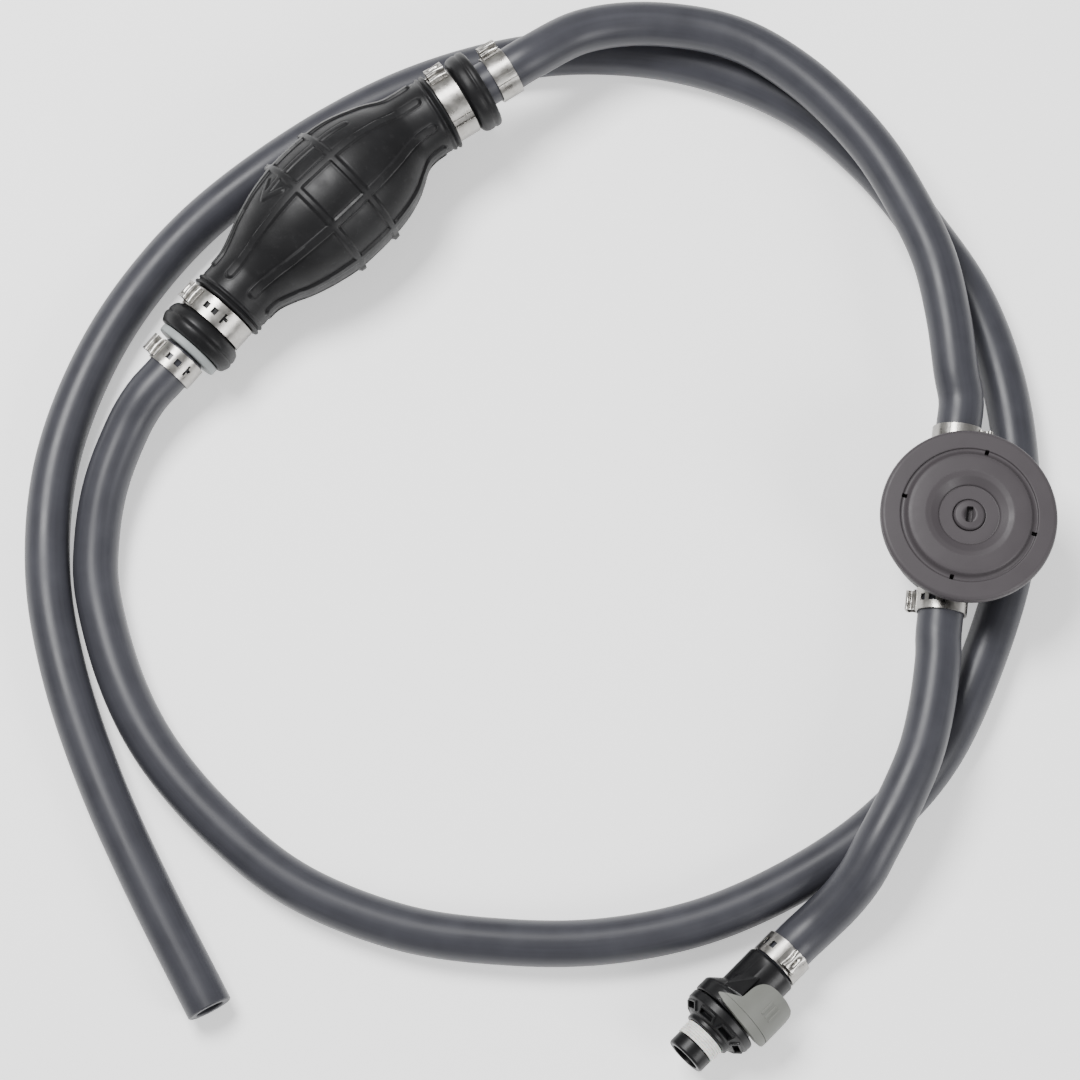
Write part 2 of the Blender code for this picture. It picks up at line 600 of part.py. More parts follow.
def build_latch():
    """The grey press pad: a saddle over the collar with a wider pad beside the barrel."""
    latch = ring("connector_latch", LATCH_INSIDE, LATCH_OUTSIDE, -0.0065, 0.0114, PALE_PLASTIC,
                 CONNECTOR_FRAME)
    saddle = block("latch_outline", (-0.0200, -0.0090, -0.0100), (0.0020, 0.0200, 0.0120), None,
                   CONNECTOR_FRAME)
    corner = block("latch_corner", (-0.0070, 0.0, 0.0020), (0.0200, 0.0200, 0.0130), None,
                   CONNECTOR_FRAME)
    boolean(latch, saddle, "INTERSECT")
    boolean(latch, corner, "DIFFERENCE")
    seat = CONNECTOR_FRAME @ Matrix.Translation((0.0, 0.0, 0.0072)) @ Matrix.Rotation(
        math.radians(-90), 4, "Y")
    coil_spring("latch_spring", seat, BARREL_RADIUS + GAP, LATCH_INSIDE - 0.0005, 0.0014, 0.0002, 3)


def build_tank_fitting():
    """The threaded half that stays on the tank, with its stem in the socket."""
    fitting = turned("tank_fitting", [
        (0.0057, 0.0034), (STEM_RADIUS, 0.0030), (STEM_RADIUS, 0.0019), (0.0047, 0.0019),
        (0.0047, -0.0001), (STEM_RADIUS, -0.0001), (STEM_RADIUS, -0.0070), (0.0128, -0.0070),
        (0.0133, -0.0074), (0.0133, -0.0106), (0.0126, -0.0117), (0.0108, -0.0133), (0.0087, -0.0139),
        (0.0087, -0.0153), (0.0083, -0.0157), (0.0066, -0.0157), (0.0066, -0.0212), (0.0072, -0.0212),
        (0.0072, -0.0252), (0.0066, -0.0260), (0.0053, -0.0260), (0.0053, -0.0235), (0.0032, -0.0230),
        (0.0032, 0.0034),
    ], BLACK_PLASTIC, CONNECTOR_FRAME)
    for i in range(8):
        turn = CONNECTOR_FRAME @ Matrix.Rotation(math.tau * (i + 0.5) / 8, 4, "Z")
        window = block(f"fitting_window_{i}", (0.0088, -0.0034, -0.0114), (0.0140, 0.0034, -0.0084),
                       None, turn)
        boolean(fitting, window, "DIFFERENCE")
    for i in range(2):
        turn = CONNECTOR_FRAME @ Matrix.Rotation(math.pi * i / 2, 4, "Z")
        slot = block(f"stem_slot_{i}", (-0.0080, -0.0008, 0.0022), (0.0080, 0.0008, 0.0060), None, turn)
        boolean(fitting, slot, "DIFFERENCE")
    ring("thread_tape", 0.0069, 0.00745, -0.0210, -0.0159, WHITE_TAPE, CONNECTOR_FRAME)
    ring("fitting_oring", 0.0050, 0.0063, 0.0002, 0.0016, SEAL_RUBBER, CONNECTOR_FRAME, SMALL)


def build_connector_inside():
    ring("connector_seat", 0.0036, SOCKET_RADIUS - GAP, 0.0056, 0.0071, SEAL_RUBBER, CONNECTOR_FRAME,
         SMALL)
    turned("connector_poppet", [
        (0.0, 0.0099), (0.0048, 0.0099), (0.0048, 0.0086), (0.0024, 0.0086), (0.0024, 0.0037),
        (0.0, 0.0037),
    ], BLACK_PLASTIC, CONNECTOR_FRAME, SMALL)
    coil_spring("connector_spring", CONNECTOR_FRAME, 0.0102, 0.0142, 0.0036, 0.0003, 3)
    clamp_middle = CONNECTOR_HOSE_START + 0.0003 + CLAMP_WIDTH / 2
    ear_clamp("connector_clamp", CONNECTOR_FRAME, clamp_middle, HOSE_CLAMP_INSIDE, math.radians(118))


# ---------------------------------------------------------------- hoses


def build_hoses():
    """Each hose leaves its fittings straight, along their axes."""
    engine_start = [on_axis(OUTLET_FRAME, along) for along in (OUTLET_HOSE_START, -0.0850, -0.0955)]
    hose("hose_bulb_to_engine", engine_start, ENGINE_HOSE_ROUTE, [])
    valve_end = [on_axis(FLOW_FRAME, along) for along in (VALVE_OUTLET_HOSE_START, 0.0360, 0.0460)]
    bulb_end = [on_axis(INLET_FRAME, along) for along in (0.0900, 0.0800, INLET_HOSE_START)]
    hose("hose_valve_to_bulb", valve_end, VALVE_TO_BULB_ROUTE, bulb_end)
    connector_end = [on_axis(CONNECTOR_FRAME, along) for along in (CONNECTOR_HOSE_START, 0.0240, 0.0300)]
    inlet_end = [on_axis(FLOW_FRAME, along) for along in (-0.0400, -0.0320, VALVE_INLET_HOSE_START)]
    hose("hose_connector_to_valve", connector_end, CONNECTOR_TO_VALVE_ROUTE, inlet_end)


build_bulb()
build_inlet_check()
build_outlet_check()
build_bulb_clamps()
build_valve_body()
build_valve_cover()
build_valve_inside()
build_valve_clamps()
build_connector_body()
build_latch()
build_tank_fitting()
build_connector_inside()
build_hoses()
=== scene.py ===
"""The finished look of the marine fuel line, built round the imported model.

Every round piece is turned about the Z axis of a frame (a matrix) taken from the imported
model: the bulb's two ends, the valve and the tank connector each have one. As in the
model, "along" is a distance along such an axis and "radius" a distance from it.
"""

import json
import math

import bmesh
import bpy
from mathutils import Matrix, Vector, noise


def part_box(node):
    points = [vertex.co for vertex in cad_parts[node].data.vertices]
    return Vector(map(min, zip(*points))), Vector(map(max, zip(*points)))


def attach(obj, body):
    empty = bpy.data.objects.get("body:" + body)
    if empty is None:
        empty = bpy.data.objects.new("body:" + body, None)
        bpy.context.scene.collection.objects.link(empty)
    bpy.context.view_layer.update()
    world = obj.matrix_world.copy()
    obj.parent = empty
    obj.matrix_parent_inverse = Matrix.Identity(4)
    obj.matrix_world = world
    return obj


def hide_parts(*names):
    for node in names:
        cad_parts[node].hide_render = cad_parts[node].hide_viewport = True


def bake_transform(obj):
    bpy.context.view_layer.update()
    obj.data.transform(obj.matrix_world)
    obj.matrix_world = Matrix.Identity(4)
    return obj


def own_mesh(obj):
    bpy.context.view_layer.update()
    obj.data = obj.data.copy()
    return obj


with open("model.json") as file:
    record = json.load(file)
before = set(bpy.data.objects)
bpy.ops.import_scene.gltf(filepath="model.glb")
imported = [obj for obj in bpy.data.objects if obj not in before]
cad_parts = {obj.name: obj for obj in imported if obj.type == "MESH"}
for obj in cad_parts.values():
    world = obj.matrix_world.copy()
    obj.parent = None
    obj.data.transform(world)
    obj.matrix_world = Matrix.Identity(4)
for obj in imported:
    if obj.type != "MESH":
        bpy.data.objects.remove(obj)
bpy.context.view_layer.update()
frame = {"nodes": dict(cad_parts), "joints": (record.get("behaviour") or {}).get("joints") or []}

# ---------------------------------------------------------------- driving dimensions

MM = 0.001
HOSE_RADIUS = 0.00795
HOSE_BORE = 0.00495

BULB_BELLY = 0.0243
BULB_NECK = 0.0140
BULB_GROOVE = 0.0118
BULB_MOUTH = 0.0089
BEND_FROM = 0.026               # the bulb's necks bend between these distances
BEND_TO = 0.047
INLET_BEND = math.radians(12.5)
OUTLET_BEND = math.radians(5.0)

CLAMP_WIDTH = 0.0080
CLAMP_BAND = 0.0008
HOSE_CLAMP_INSIDE = 0.00825
BULB_CLAMP_INSIDE = 0.01210

VALVE_HEADING = math.radians(82.8)
VALVE_FLOW_OFFSET = 0.0048
VALVE_FLOW_HEIGHT = 0.0215

OUTLET_HOSE_START = -0.0745
INLET_HOSE_START = 0.0693
VALVE_OUTLET_HOSE_START = 0.0266
VALVE_INLET_HOSE_START = -0.0232
CONNECTOR_HOSE_START = 0.0170

# The free part of each hose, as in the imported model.
ENGINE_HOSE_ROUTE = [
    (-0.164, 0.043, 0.0150), (-0.171, 0.024, 0.0122), (-0.174, 0.004, 0.0096), (-0.173, -0.016, 0.0082),
    (-0.164, -0.046, 0.008), (-0.150, -0.072, 0.008), (-0.128, -0.097, 0.008), (-0.101, -0.118, 0.008),
    (-0.066, -0.132, 0.008), (-0.032, -0.137, 0.008), (0.003, -0.137, 0.008), (0.038, -0.130, 0.008),
    (0.0707, -0.1154, 0.008), (0.099, -0.096, 0.008), (0.121, -0.071, 0.008), (0.138, -0.035, 0.008),
    (0.149, 0.001, 0.008), (0.151, 0.032, 0.008), (0.147, 0.065, 0.008), (0.137, 0.095, 0.008),
    (0.121, 0.121, 0.008), (0.102, 0.146, 0.008), (0.077, 0.168, 0.008), (0.044, 0.183, 0.008),
    (0.010, 0.189, 0.008), (-0.026, 0.187, 0.008), (-0.065, 0.175, 0.008), (-0.102, 0.1545, 0.008),
    (-0.138, 0.126, 0.008), (-0.163, 0.096, 0.008), (-0.180, 0.064, 0.008), (-0.190, 0.029, 0.008),
    (-0.191, -0.008, 0.008), (-0.184, -0.043, 0.008), (-0.171, -0.079, 0.008), (-0.154, -0.115, 0.008),
    (-0.130, -0.160, 0.008),
]
VALVE_TO_BULB_ROUTE = [
    (0.1287, 0.062, 0.0228), (0.1265, 0.082, 0.0240), (0.122, 0.104, 0.0246), (0.113, 0.125, 0.0248),
    (0.101, 0.146, 0.0247), (0.084, 0.166, 0.0246), (0.067, 0.180, 0.0246), (0.052, 0.188, 0.0247),
    (0.035, 0.192, 0.0252), (0.015, 0.1925, 0.0267), (-0.004, 0.188, 0.0293),
]
CONNECTOR_TO_VALVE_ROUTE = [
    (0.0767, -0.1312, 0.0136), (0.0843, -0.1240, 0.0173), (0.0909, -0.1158, 0.0213),
    (0.0960, -0.1066, 0.0240), (0.1010, -0.0975, 0.0253), (0.1064, -0.0870, 0.0256),
    (0.1122, -0.0735, 0.0252), (0.1163, -0.0580, 0.0241), (0.1190, -0.0420, 0.0226),
]

# ---------------------------------------------------------------- frames from the model


def joint_axis(name):
    return Vector(next(joint["axis"] for joint in frame["joints"] if joint["name"] == name))


def node_frame(node, along, up, low):
    """A frame on the axis of a turned node, whose lowest point along the axis is at low."""
    along = along.normalized()
    up = (up - along * up.dot(along)).normalized()
    corners = {tuple(round(c, 6) for c in vertex.co) for vertex in frame["nodes"][node].data.vertices}
    centre = sum((Vector(corner) for corner in corners), Vector()) / len(corners)
    lowest = min((Vector(corner) - centre).dot(along) for corner in corners)
    made = Matrix((up.cross(along), up, along)).transposed().to_4x4()
    made.translation = centre + along * (lowest - low)
    return made


def bulb_bend(along):
    """Where a point of the bulb's axis lies once the necks are bent, and its turn."""
    side = 1.0 if along > 0 else -1.0
    full = INLET_BEND if along > 0 else OUTLET_BEND
    inside = min(max(abs(along) - BEND_FROM, 0.0), BEND_TO - BEND_FROM)
    beyond = max(abs(along) - BEND_TO, 0.0)
    radius = (BEND_TO - BEND_FROM) / full
    turn = inside / radius
    sideways = -radius * (1 - math.cos(turn)) - beyond * math.sin(turn)
    forward = min(abs(along), BEND_FROM) + radius * math.sin(turn) + beyond * math.cos(turn)
    return Vector((sideways, 0.0, side * forward)), -side * turn


BULB_UP = -joint_axis("bulb_squeeze")
INLET_FRAME = node_frame("inlet_poppet", -joint_axis("inlet_check_slide"), BULB_UP, 0.0484)
OUTLET_FRAME = node_frame("outlet_poppet", -joint_axis("outlet_check_slide"), BULB_UP, -0.0596)
NECK_PLACE, NECK_TURN = bulb_bend(BEND_TO)
BULB_FRAME = INLET_FRAME @ (Matrix.Translation(NECK_PLACE) @ Matrix.Rotation(NECK_TURN, 4, "Y")
                            @ Matrix.Translation((0.0, 0.0, -BEND_TO))).inverted()
CONNECTOR_AXIS = -joint_axis("fitting_pull_off")
CONNECTOR_FRAME = node_frame("connector_poppet", CONNECTOR_AXIS,
                             CONNECTOR_AXIS.cross(joint_axis("latch_press")), 0.0037)
COVER_LOW, COVER_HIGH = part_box("valve_cover")
VALVE_FRAME = (Matrix.Translation(((COVER_LOW.x + COVER_HIGH.x) / 2, (COVER_LOW.y + COVER_HIGH.y) / 2, 0.0))
               @ Matrix.Rotation(VALVE_HEADING, 4, "Z"))
FLOW_FRAME = (VALVE_FRAME @ Matrix.Translation((0.0, VALVE_FLOW_OFFSET, VALVE_FLOW_HEIGHT))
              @ Matrix.Rotation(math.radians(90), 4, "Y"))


def on_axis(place, along):
    return place @ Vector((0.0, 0.0, along))


# ---------------------------------------------------------------- curves


def catmull_rom(before, start, end, after, share):
    """A point between start and end on the smooth curve through all four."""
    square, cube = share * share, share * share * share
    return 0.5 * (2 * start + (end - before) * share
                  + (2 * before - 5 * start + 4 * end - after) * square
                  + (3 * start - before - 3 * end + after) * cube)


def smooth_curve(points, per_span):
    """Points of a smooth curve through the given points."""
    points = [Vector(point) for point in points]
    padded = [2 * points[0] - points[1]] + points + [2 * points[-1] - points[-2]]
    smooth = []
    for i in range(len(points) - 1):
        for step in range(per_span):
            smooth.append(catmull_rom(*padded[i:i + 4], step / per_span))
    return smooth + [points[-1]]


def evenly_spaced(points, spacing):
    """Points at an even distance of about the spacing along a fine polyline."""
    lengths = [0.0]
    for before, after in zip(points, points[1:]):
        lengths.append(lengths[-1] + (after - before).length)
    count = max(2, round(lengths[-1] / spacing))
    even = []
    span = 0
    for i in range(count + 1):
        distance = lengths[-1] * i / count
        while span < len(lengths) - 2 and lengths[span + 1] < distance:
            span += 1
        share = (distance - lengths[span]) / (lengths[span + 1] - lengths[span])
        even.append(points[span].lerp(points[span + 1], share))
    return even


def softened(profile, size, steps=4):
    """A closed profile whose corners are rounded over about the given size."""
    points = [Vector(point) for point in profile]
    count = len(points)
    rounded = []
    for i, corner in enumerate(points):
        before, after = points[i - 1], points[(i + 1) % count]
        back, ahead = before - corner, after - corner
        straight = back.length < 1e-9 or ahead.length < 1e-9 or back.angle(ahead) > math.radians(165)
        if corner.x < 1e-6 or straight:
            rounded.append(corner)
            continue
        start = corner + back.normalized() * min(size, 0.45 * back.length)
        end = corner + ahead.normalized() * min(size, 0.45 * ahead.length)
        for step in range(steps + 1):
            share = step / steps
            rounded.append(start.lerp(corner, share).lerp(corner.lerp(end, share), share))
    return rounded


# ---------------------------------------------------------------- materials


class Look:
    """A material under construction, with short names for adding and joining nodes."""

    def __init__(self, name, colour, roughness, metallic=0.0):
        self.material = bpy.data.materials.new(name)
        self.material.use_nodes = True
        self.nodes = self.material.node_tree.nodes
        self.links = self.material.node_tree.links
        self.shader = self.nodes["Principled BSDF"]
        self.shader.inputs["Base Color"].default_value = (*colour, 1.0)
        self.shader.inputs["Roughness"].default_value = roughness
        self.shader.inputs["Metallic"].default_value = metallic
        self.height = None

    def add(self, kind, **inputs):
        node = self.nodes.new(kind)
        for key, value in inputs.items():
            node.inputs[key.replace("_", " ")].default_value = value
        return node

    def join(self, output, target):
        self.links.new(output, target)

    def coordinates(self, kind, scale):
        source = self.add("ShaderNodeTexCoord")
        mapping = self.add("ShaderNodeMapping", Scale=scale)
        self.join(source.outputs[kind], mapping.inputs["Vector"])
        return mapping.outputs["Vector"]

    def noise(self, vector, scale, detail=4.0, roughness=0.55):
        texture = self.add("ShaderNodeTexNoise", Scale=scale, Detail=detail, Roughness=roughness)
        self.join(vector, texture.inputs["Vector"])
        return texture.outputs["Fac"]

    def span(self, value, low, high, to_low, to_high):
        """The value's range low to high, spread over to_low to to_high."""
        ranged = self.add("ShaderNodeMapRange")
        for index, number in enumerate((low, high, to_low, to_high)):
            ranged.inputs[index + 1].default_value = number
        self.join(value, ranged.inputs[0])
        return ranged.outputs[0]

    def blend(self, factor, first, second):
        """A colour between first and second, each a colour or an output."""
        mixed = self.nodes.new("ShaderNodeMix")
        mixed.data_type = "RGBA"
        self.join(factor, mixed.inputs[0])
        for index, colour in ((6, first), (7, second)):
            if isinstance(colour, tuple):
                mixed.inputs[index].default_value = (*colour, 1.0)
            else:
                self.join(colour, mixed.inputs[index])
        return mixed.outputs[2]

    def bump(self, height, strength, distance):
        node = self.add("ShaderNodeBump", Strength=strength, Distance=distance)
        self.join(height, node.inputs["Height"])
        if self.height is not None:
            self.join(self.height, node.inputs["Normal"])
        self.height = node.outputs["Normal"]
        self.join(self.height, self.shader.inputs["Normal"])


def shade(colour, factor):
    return tuple(channel * factor for channel in colour)


def moulded(name, colour, roughness, specular=0.35, mottle=0.15, grain=1400.0, relief=0.00006, dust=0.0):
    """Rubber or plastic out of a mould: faint clouds of colour, fine grain, light dust."""
    look = Look(name, colour, roughness)
    vector = look.coordinates("Object", (1.0, 1.0, 1.0))
    clouds = look.noise(vector, 70.0)
    tint = look.blend(look.span(clouds, 0.3, 0.7, 0.0, 1.0), shade(colour, 1 - mottle),
                      shade(colour, 1 + mottle))
    if dust:
        specks = look.span(look.noise(vector, 420.0, 6.0, 0.75), 0.56, 0.72, 0.0, dust)
        tint = look.blend(specks, tint, (0.30, 0.30, 0.30))
    look.join(tint, look.shader.inputs["Base Color"])
    wear = look.noise(vector, 160.0, 5.0)
    look.join(look.span(wear, 0.3, 0.7, roughness - 0.07, roughness + 0.07), look.shader.inputs["Roughness"])
    look.bump(look.noise(vector, grain, 3.0), 0.35, relief)
    look.shader.inputs["Specular IOR Level"].default_value = specular
    return look.material


def steel(name):
    """Satin stainless strip: fine scratches, soft dull patches."""
    look = Look(name, (0.33, 0.32, 0.30), 0.30, 1.0)
    vector = look.coordinates("Object", (1.0, 1.0, 1.0))
    patches = look.noise(vector, 260.0, 5.0, 0.6)
    look.join(look.blend(look.span(patches, 0.3, 0.7, 0.0, 1.0), (0.26, 0.25, 0.235), (0.40, 0.39, 0.37)),
              look.shader.inputs["Base Color"])
    look.join(look.span(patches, 0.3, 0.7, 0.22, 0.42), look.shader.inputs["Roughness"])
    scratches = look.noise(look.coordinates("Object", (3.0, 0.5, 0.7)), 2600.0, 2.0)
    look.bump(scratches, 0.25, 0.00003)
    return look.material


def hose_rubber(name):
    """Extruded hose: faint streaks along its length over a soft shine."""
    colour = (0.037, 0.0375, 0.045)
    look = Look(name, colour, 0.34)
    along_hose = look.coordinates("UV", (1.0, 0.02, 1.0))
    streaks = look.noise(along_hose, 700.0, 3.0)
    clouds = look.noise(look.coordinates("UV", (1.0, 1.0, 1.0)), 60.0, 4.0)
    tint = look.blend(look.span(clouds, 0.3, 0.7, 0.0, 1.0), shade(colour, 0.86), shade(colour, 1.14))
    tint = look.blend(look.span(streaks, 0.35, 0.75, 0.0, 0.35), tint, shade(colour, 1.5))
    look.join(tint, look.shader.inputs["Base Color"])
    look.join(look.span(clouds, 0.3, 0.7, 0.32, 0.44), look.shader.inputs["Roughness"])
    look.bump(streaks, 0.12, 0.0001)
    look.bump(look.noise(look.coordinates("UV", (1.0, 1.0, 1.0)), 2200.0, 2.0), 0.15, 0.00003)
    look.shader.inputs["Specular IOR Level"].default_value = 0.30
    return look.material


def thread_tape_look(name):
    """White sealing tape: thin edges of its turns, slightly see-through."""
    colour = (0.78, 0.77, 0.72)
    look = Look(name, colour, 0.55)
    vector = look.coordinates("Object", (1.0, 1.0, 1.0))
    folds = look.noise(vector, 520.0, 6.0, 0.7)
    look.join(look.blend(look.span(folds, 0.35, 0.65, 0.0, 1.0), shade(colour, 0.84), (0.86, 0.86, 0.83)),
              look.shader.inputs["Base Color"])
    look.bump(folds, 0.5, 0.00012)
    look.shader.inputs["Subsurface Weight"].default_value = 0.12
    look.shader.inputs["Subsurface Scale"].default_value = 0.001
    return look.material


BULB_RUBBER = moulded("bulb_rubber", (0.0090, 0.0090, 0.0097), 0.42, 0.20, mottle=0.25, relief=0.00005,
                      dust=0.03)
BLACK_PLASTIC = moulded("black_plastic", (0.0048, 0.0048, 0.0054), 0.38, 0.26, mottle=0.2, grain=1800.0,
                        relief=0.00004)
GREY_PLASTIC = moulded("grey_plastic", (0.052, 0.046, 0.050), 0.50, 0.30, mottle=0.05, grain=2400.0,
                       relief=0.00003)
LATCH_PLASTIC = moulded("latch_plastic", (0.142, 0.146, 0.132), 0.50, 0.30, mottle=0.05, grain=2400.0,
                        relief=0.00003)
PALE_PLASTIC = moulded("pale_plastic", (0.26, 0.28, 0.28), 0.45, mottle=0.06, grain=2000.0, relief=0.00003)
SEAL_RUBBER = moulded("seal_rubber", (0.030, 0.030, 0.030), 0.55)
STAINLESS = steel("stainless_steel")
HOSE_RUBBER = hose_rubber("hose_rubber")
WHITE_TAPE = thread_tape_look("white_tape")

# ---------------------------------------------------------------- making pieces


def add_mesh(name, shape, look, sharp=35.0):
    """An object from a bmesh in the model's own frame, shaded smooth between sharp edges."""
    bmesh.ops.recalc_face_normals(shape, faces=shape.faces)
    mesh = bpy.data.meshes.new(name)
    shape.to_mesh(mesh)
    shape.free()
    mesh.shade_smooth()
    mesh.set_sharp_from_angle(angle=math.radians(sharp))
    made = bpy.data.objects.new(name, mesh)
    bpy.context.scene.collection.objects.link(made)
    if look is not None:
        mesh.materials.append(look)
    return made


def settle(target):
    """Replaces an object's modifiers by the mesh that they make."""
    bpy.context.view_layer.update()
    evaluated = target.evaluated_get(bpy.context.evaluated_depsgraph_get())
    mesh = bpy.data.meshes.new_from_object(evaluated)
    target.modifiers.clear()
    target.data = mesh
    return target


def even_shading(target):
    """Normals that keep flat faces flat beside small rounded edges."""
    modifier = target.modifiers.new("normals", "WEIGHTED_NORMAL")
    modifier.keep_sharp = True
    return target


def lathe(shape, profile, place, sides, closed=True):
    """Adds the turned surface of a profile of (radius, along) points to a bmesh."""
    rings = []
    for point in profile:
        radius, along = point[0], point[1]
        if radius < 1e-6:
            rings.append([shape.verts.new(place @ Vector((0.0, 0.0, along)))] * sides)
            continue
        ring = []
        for i in range(sides):
            angle = math.tau * i / sides
            ring.append(shape.verts.new(
                place @ Vector((radius * math.cos(angle), radius * math.sin(angle), along))))
        rings.append(ring)
    pairs = list(zip(rings, rings[1:]))
    if closed:
        pairs.append((rings[-1], rings[0]))
    for first, second in pairs:
        for i in range(sides):
            j = (i + 1) % sides
            corners = []
            for corner in (first[i], first[j], second[j], second[i]):
                if corner not in corners:
                    corners.append(corner)
            if len(corners) > 2:
                shape.faces.new(corners)


def turned(name, profile, place, look, size=0.0004, sides=96):
    """A turned piece with softened edges. The profile is closed, or starts and ends on the axis."""
    shape = bmesh.new()
    on_the_axis = profile[0][0] < 1e-6 and profile[-1][0] < 1e-6
    lathe(shape, softened(profile, size), place, sides, closed=not on_the_axis)
    return even_shading(add_mesh(name, shape, look))


def blocks(name, low, high, places, bevel=0.0):
    """The same block, given by two corners, at each place: a tool to cut or join with."""
    low, high = Vector(low), Vector(high)
    shape = bmesh.new()
    for place in places:
        made = bmesh.ops.create_cube(shape, size=1.0)["verts"]
        bmesh.ops.scale(shape, vec=high - low, verts=made)
        bmesh.ops.translate(shape, vec=(low + high) / 2, verts=made)
        bmesh.ops.transform(shape, matrix=place, verts=made)
    if bevel:
        bmesh.ops.bevel(shape, geom=shape.edges[:], offset=bevel, segments=3, affect="EDGES", profile=0.5)
    return add_mesh(name, shape, None)


def around(place, count, first=0.0):
    """The place turned into each of an even number of directions about its axis."""
    return [place @ Matrix.Rotation(first + math.tau * i / count, 4, "Z") for i in range(count)]


def cut(target, tools, operation="DIFFERENCE"):
    """Cuts or joins the tools in one go each and removes them."""
    for tool in tools:
        modifier = target.modifiers.new(operation.lower(), "BOOLEAN")
        modifier.operation = operation
        modifier.object = tool
    settle(target)
    for tool in tools:
        bpy.data.objects.remove(tool)
    target.data.shade_smooth()
    target.data.set_sharp_from_angle(angle=math.radians(35))
    return even_shading(target)


def place_piece(piece, body, *nodes):
    """The piece stands for the nodes and moves with the body."""
    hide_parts(*nodes)
    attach(piece, body)


# ---------------------------------------------------------------- hoses


def carried_frames(path):
    """Side and up vectors carried along a path without twisting."""
    tangents = []
    for i in range(len(path)):
        tangents.append((path[min(i + 1, len(path) - 1)] - path[max(i - 1, 0)]).normalized())
    up = Vector((0.0, 0.0, 1.0))
    frames = []
    for tangent in tangents:
        up = (up - tangent * up.dot(tangent)).normalized()
        frames.append((tangent, tangent.cross(up), up))
    return frames


def hose(name, route):
    """A hollow hose along the smooth curve through its route."""
    path = evenly_spaced(smooth_curve(route, 24), 0.003)
    frames = carried_frames(path)
    sides = 40
    rim = 0.0004
    stations = [(0, HOSE_BORE + rim, 0.0), (0, HOSE_RADIUS - rim, 0.0), (0, HOSE_RADIUS, rim)]
    stations += [(i, HOSE_RADIUS, 0.0) for i in range(1, len(path) - 1)]
    last = len(path) - 1
    stations += [(last, HOSE_RADIUS, -rim), (last, HOSE_RADIUS - rim, 0.0), (last, HOSE_BORE + rim, 0.0),
                 (last, HOSE_BORE, -rim)]
    stations += [(i, HOSE_BORE, 0.0) for i in range(last - 1, 0, -1)]
    stations += [(0, HOSE_BORE, rim)]
    shape = bmesh.new()
    metres = shape.loops.layers.uv.new("metres")
    rings = []
    for index, radius, shift in stations:
        tangent, side, up = frames[index]
        ring = []
        for i in range(sides):
            angle = math.tau * i / sides
            ring.append(shape.verts.new(path[index] + tangent * shift
                                        + radius * (math.cos(angle) * side + math.sin(angle) * up)))
        rings.append(ring)
    for n, station in enumerate(stations):
        after = (n + 1) % len(stations)
        for i in range(sides):
            j = (i + 1) % sides
            face = shape.faces.new((rings[n][i], rings[n][j], rings[after][j], rings[after][i]))
            around = [i, i + 1, i + 1, i]
            along = [station[0], station[0], stations[after][0], stations[after][0]]
            for loop, step, index in zip(face.loops, around, along):
                loop[metres].uv = (math.tau * HOSE_RADIUS * step / sides, 0.003 * index)
    piece = add_mesh(name, shape, HOSE_RUBBER)
    place_piece(piece, "line", name.replace("flexible_", ""))


def build_hoses():
    """Each hose leaves its fittings straight, along their axes."""
    engine_start = [on_axis(OUTLET_FRAME, along) for along in (OUTLET_HOSE_START, -0.0850, -0.0955)]
    hose("flexible_hose_bulb_to_engine", engine_start + ENGINE_HOSE_ROUTE)
    valve_end = [on_axis(FLOW_FRAME, along) for along in (VALVE_OUTLET_HOSE_START, 0.0360, 0.0460)]
    bulb_end = [on_axis(INLET_FRAME, along) for along in (0.0900, 0.0800, INLET_HOSE_START)]
    hose("flexible_hose_valve_to_bulb", valve_end + VALVE_TO_BULB_ROUTE + bulb_end)
    connector_end = [on_axis(CONNECTOR_FRAME, along) for along in (CONNECTOR_HOSE_START, 0.0240, 0.0300)]
    inlet_end = [on_axis(FLOW_FRAME, along) for along in (-0.0400, -0.0320, VALVE_INLET_HOSE_START)]
    hose("flexible_hose_connector_to_valve", connector_end + CONNECTOR_TO_VALVE_ROUTE + inlet_end)


# ---------------------------------------------------------------- camera, light and floor

CAMERA_TARGET = Vector((-0.018, 0.004, 0.010))
CAMERA_ELEVATION = math.radians(75.5)
CAMERA_DISTANCE = 1.1
VIEW_WIDTH = 0.380              # seen at the target's distance


def build_camera():
    data = bpy.data.cameras.new("camera")
    data.sensor_width = 36.0
    data.lens = data.sensor_width * CAMERA_DISTANCE / VIEW_WIDTH
    camera = bpy.data.objects.new("camera", data)
    bpy.context.scene.collection.objects.link(camera)
    away = Vector((0.0, -math.cos(CAMERA_ELEVATION), math.sin(CAMERA_ELEVATION)))
    camera.location = CAMERA_TARGET + CAMERA_DISTANCE * away
    camera.rotation_euler = (math.pi / 2 - CAMERA_ELEVATION, 0.0, 0.0)
    bpy.context.scene.camera = camera


def softbox(name, place, target, width, height, power):
    data = bpy.data.lights.new(name, "AREA")
    data.shape = "RECTANGLE"
    data.size = width
    data.size_y = height
    data.energy = power
    light = bpy.data.objects.new(name, data)
    bpy.context.scene.collection.objects.link(light)
    light.location = place
    light.rotation_euler = (Vector(target) - Vector(place)).to_track_quat("-Z", "Y").to_euler()


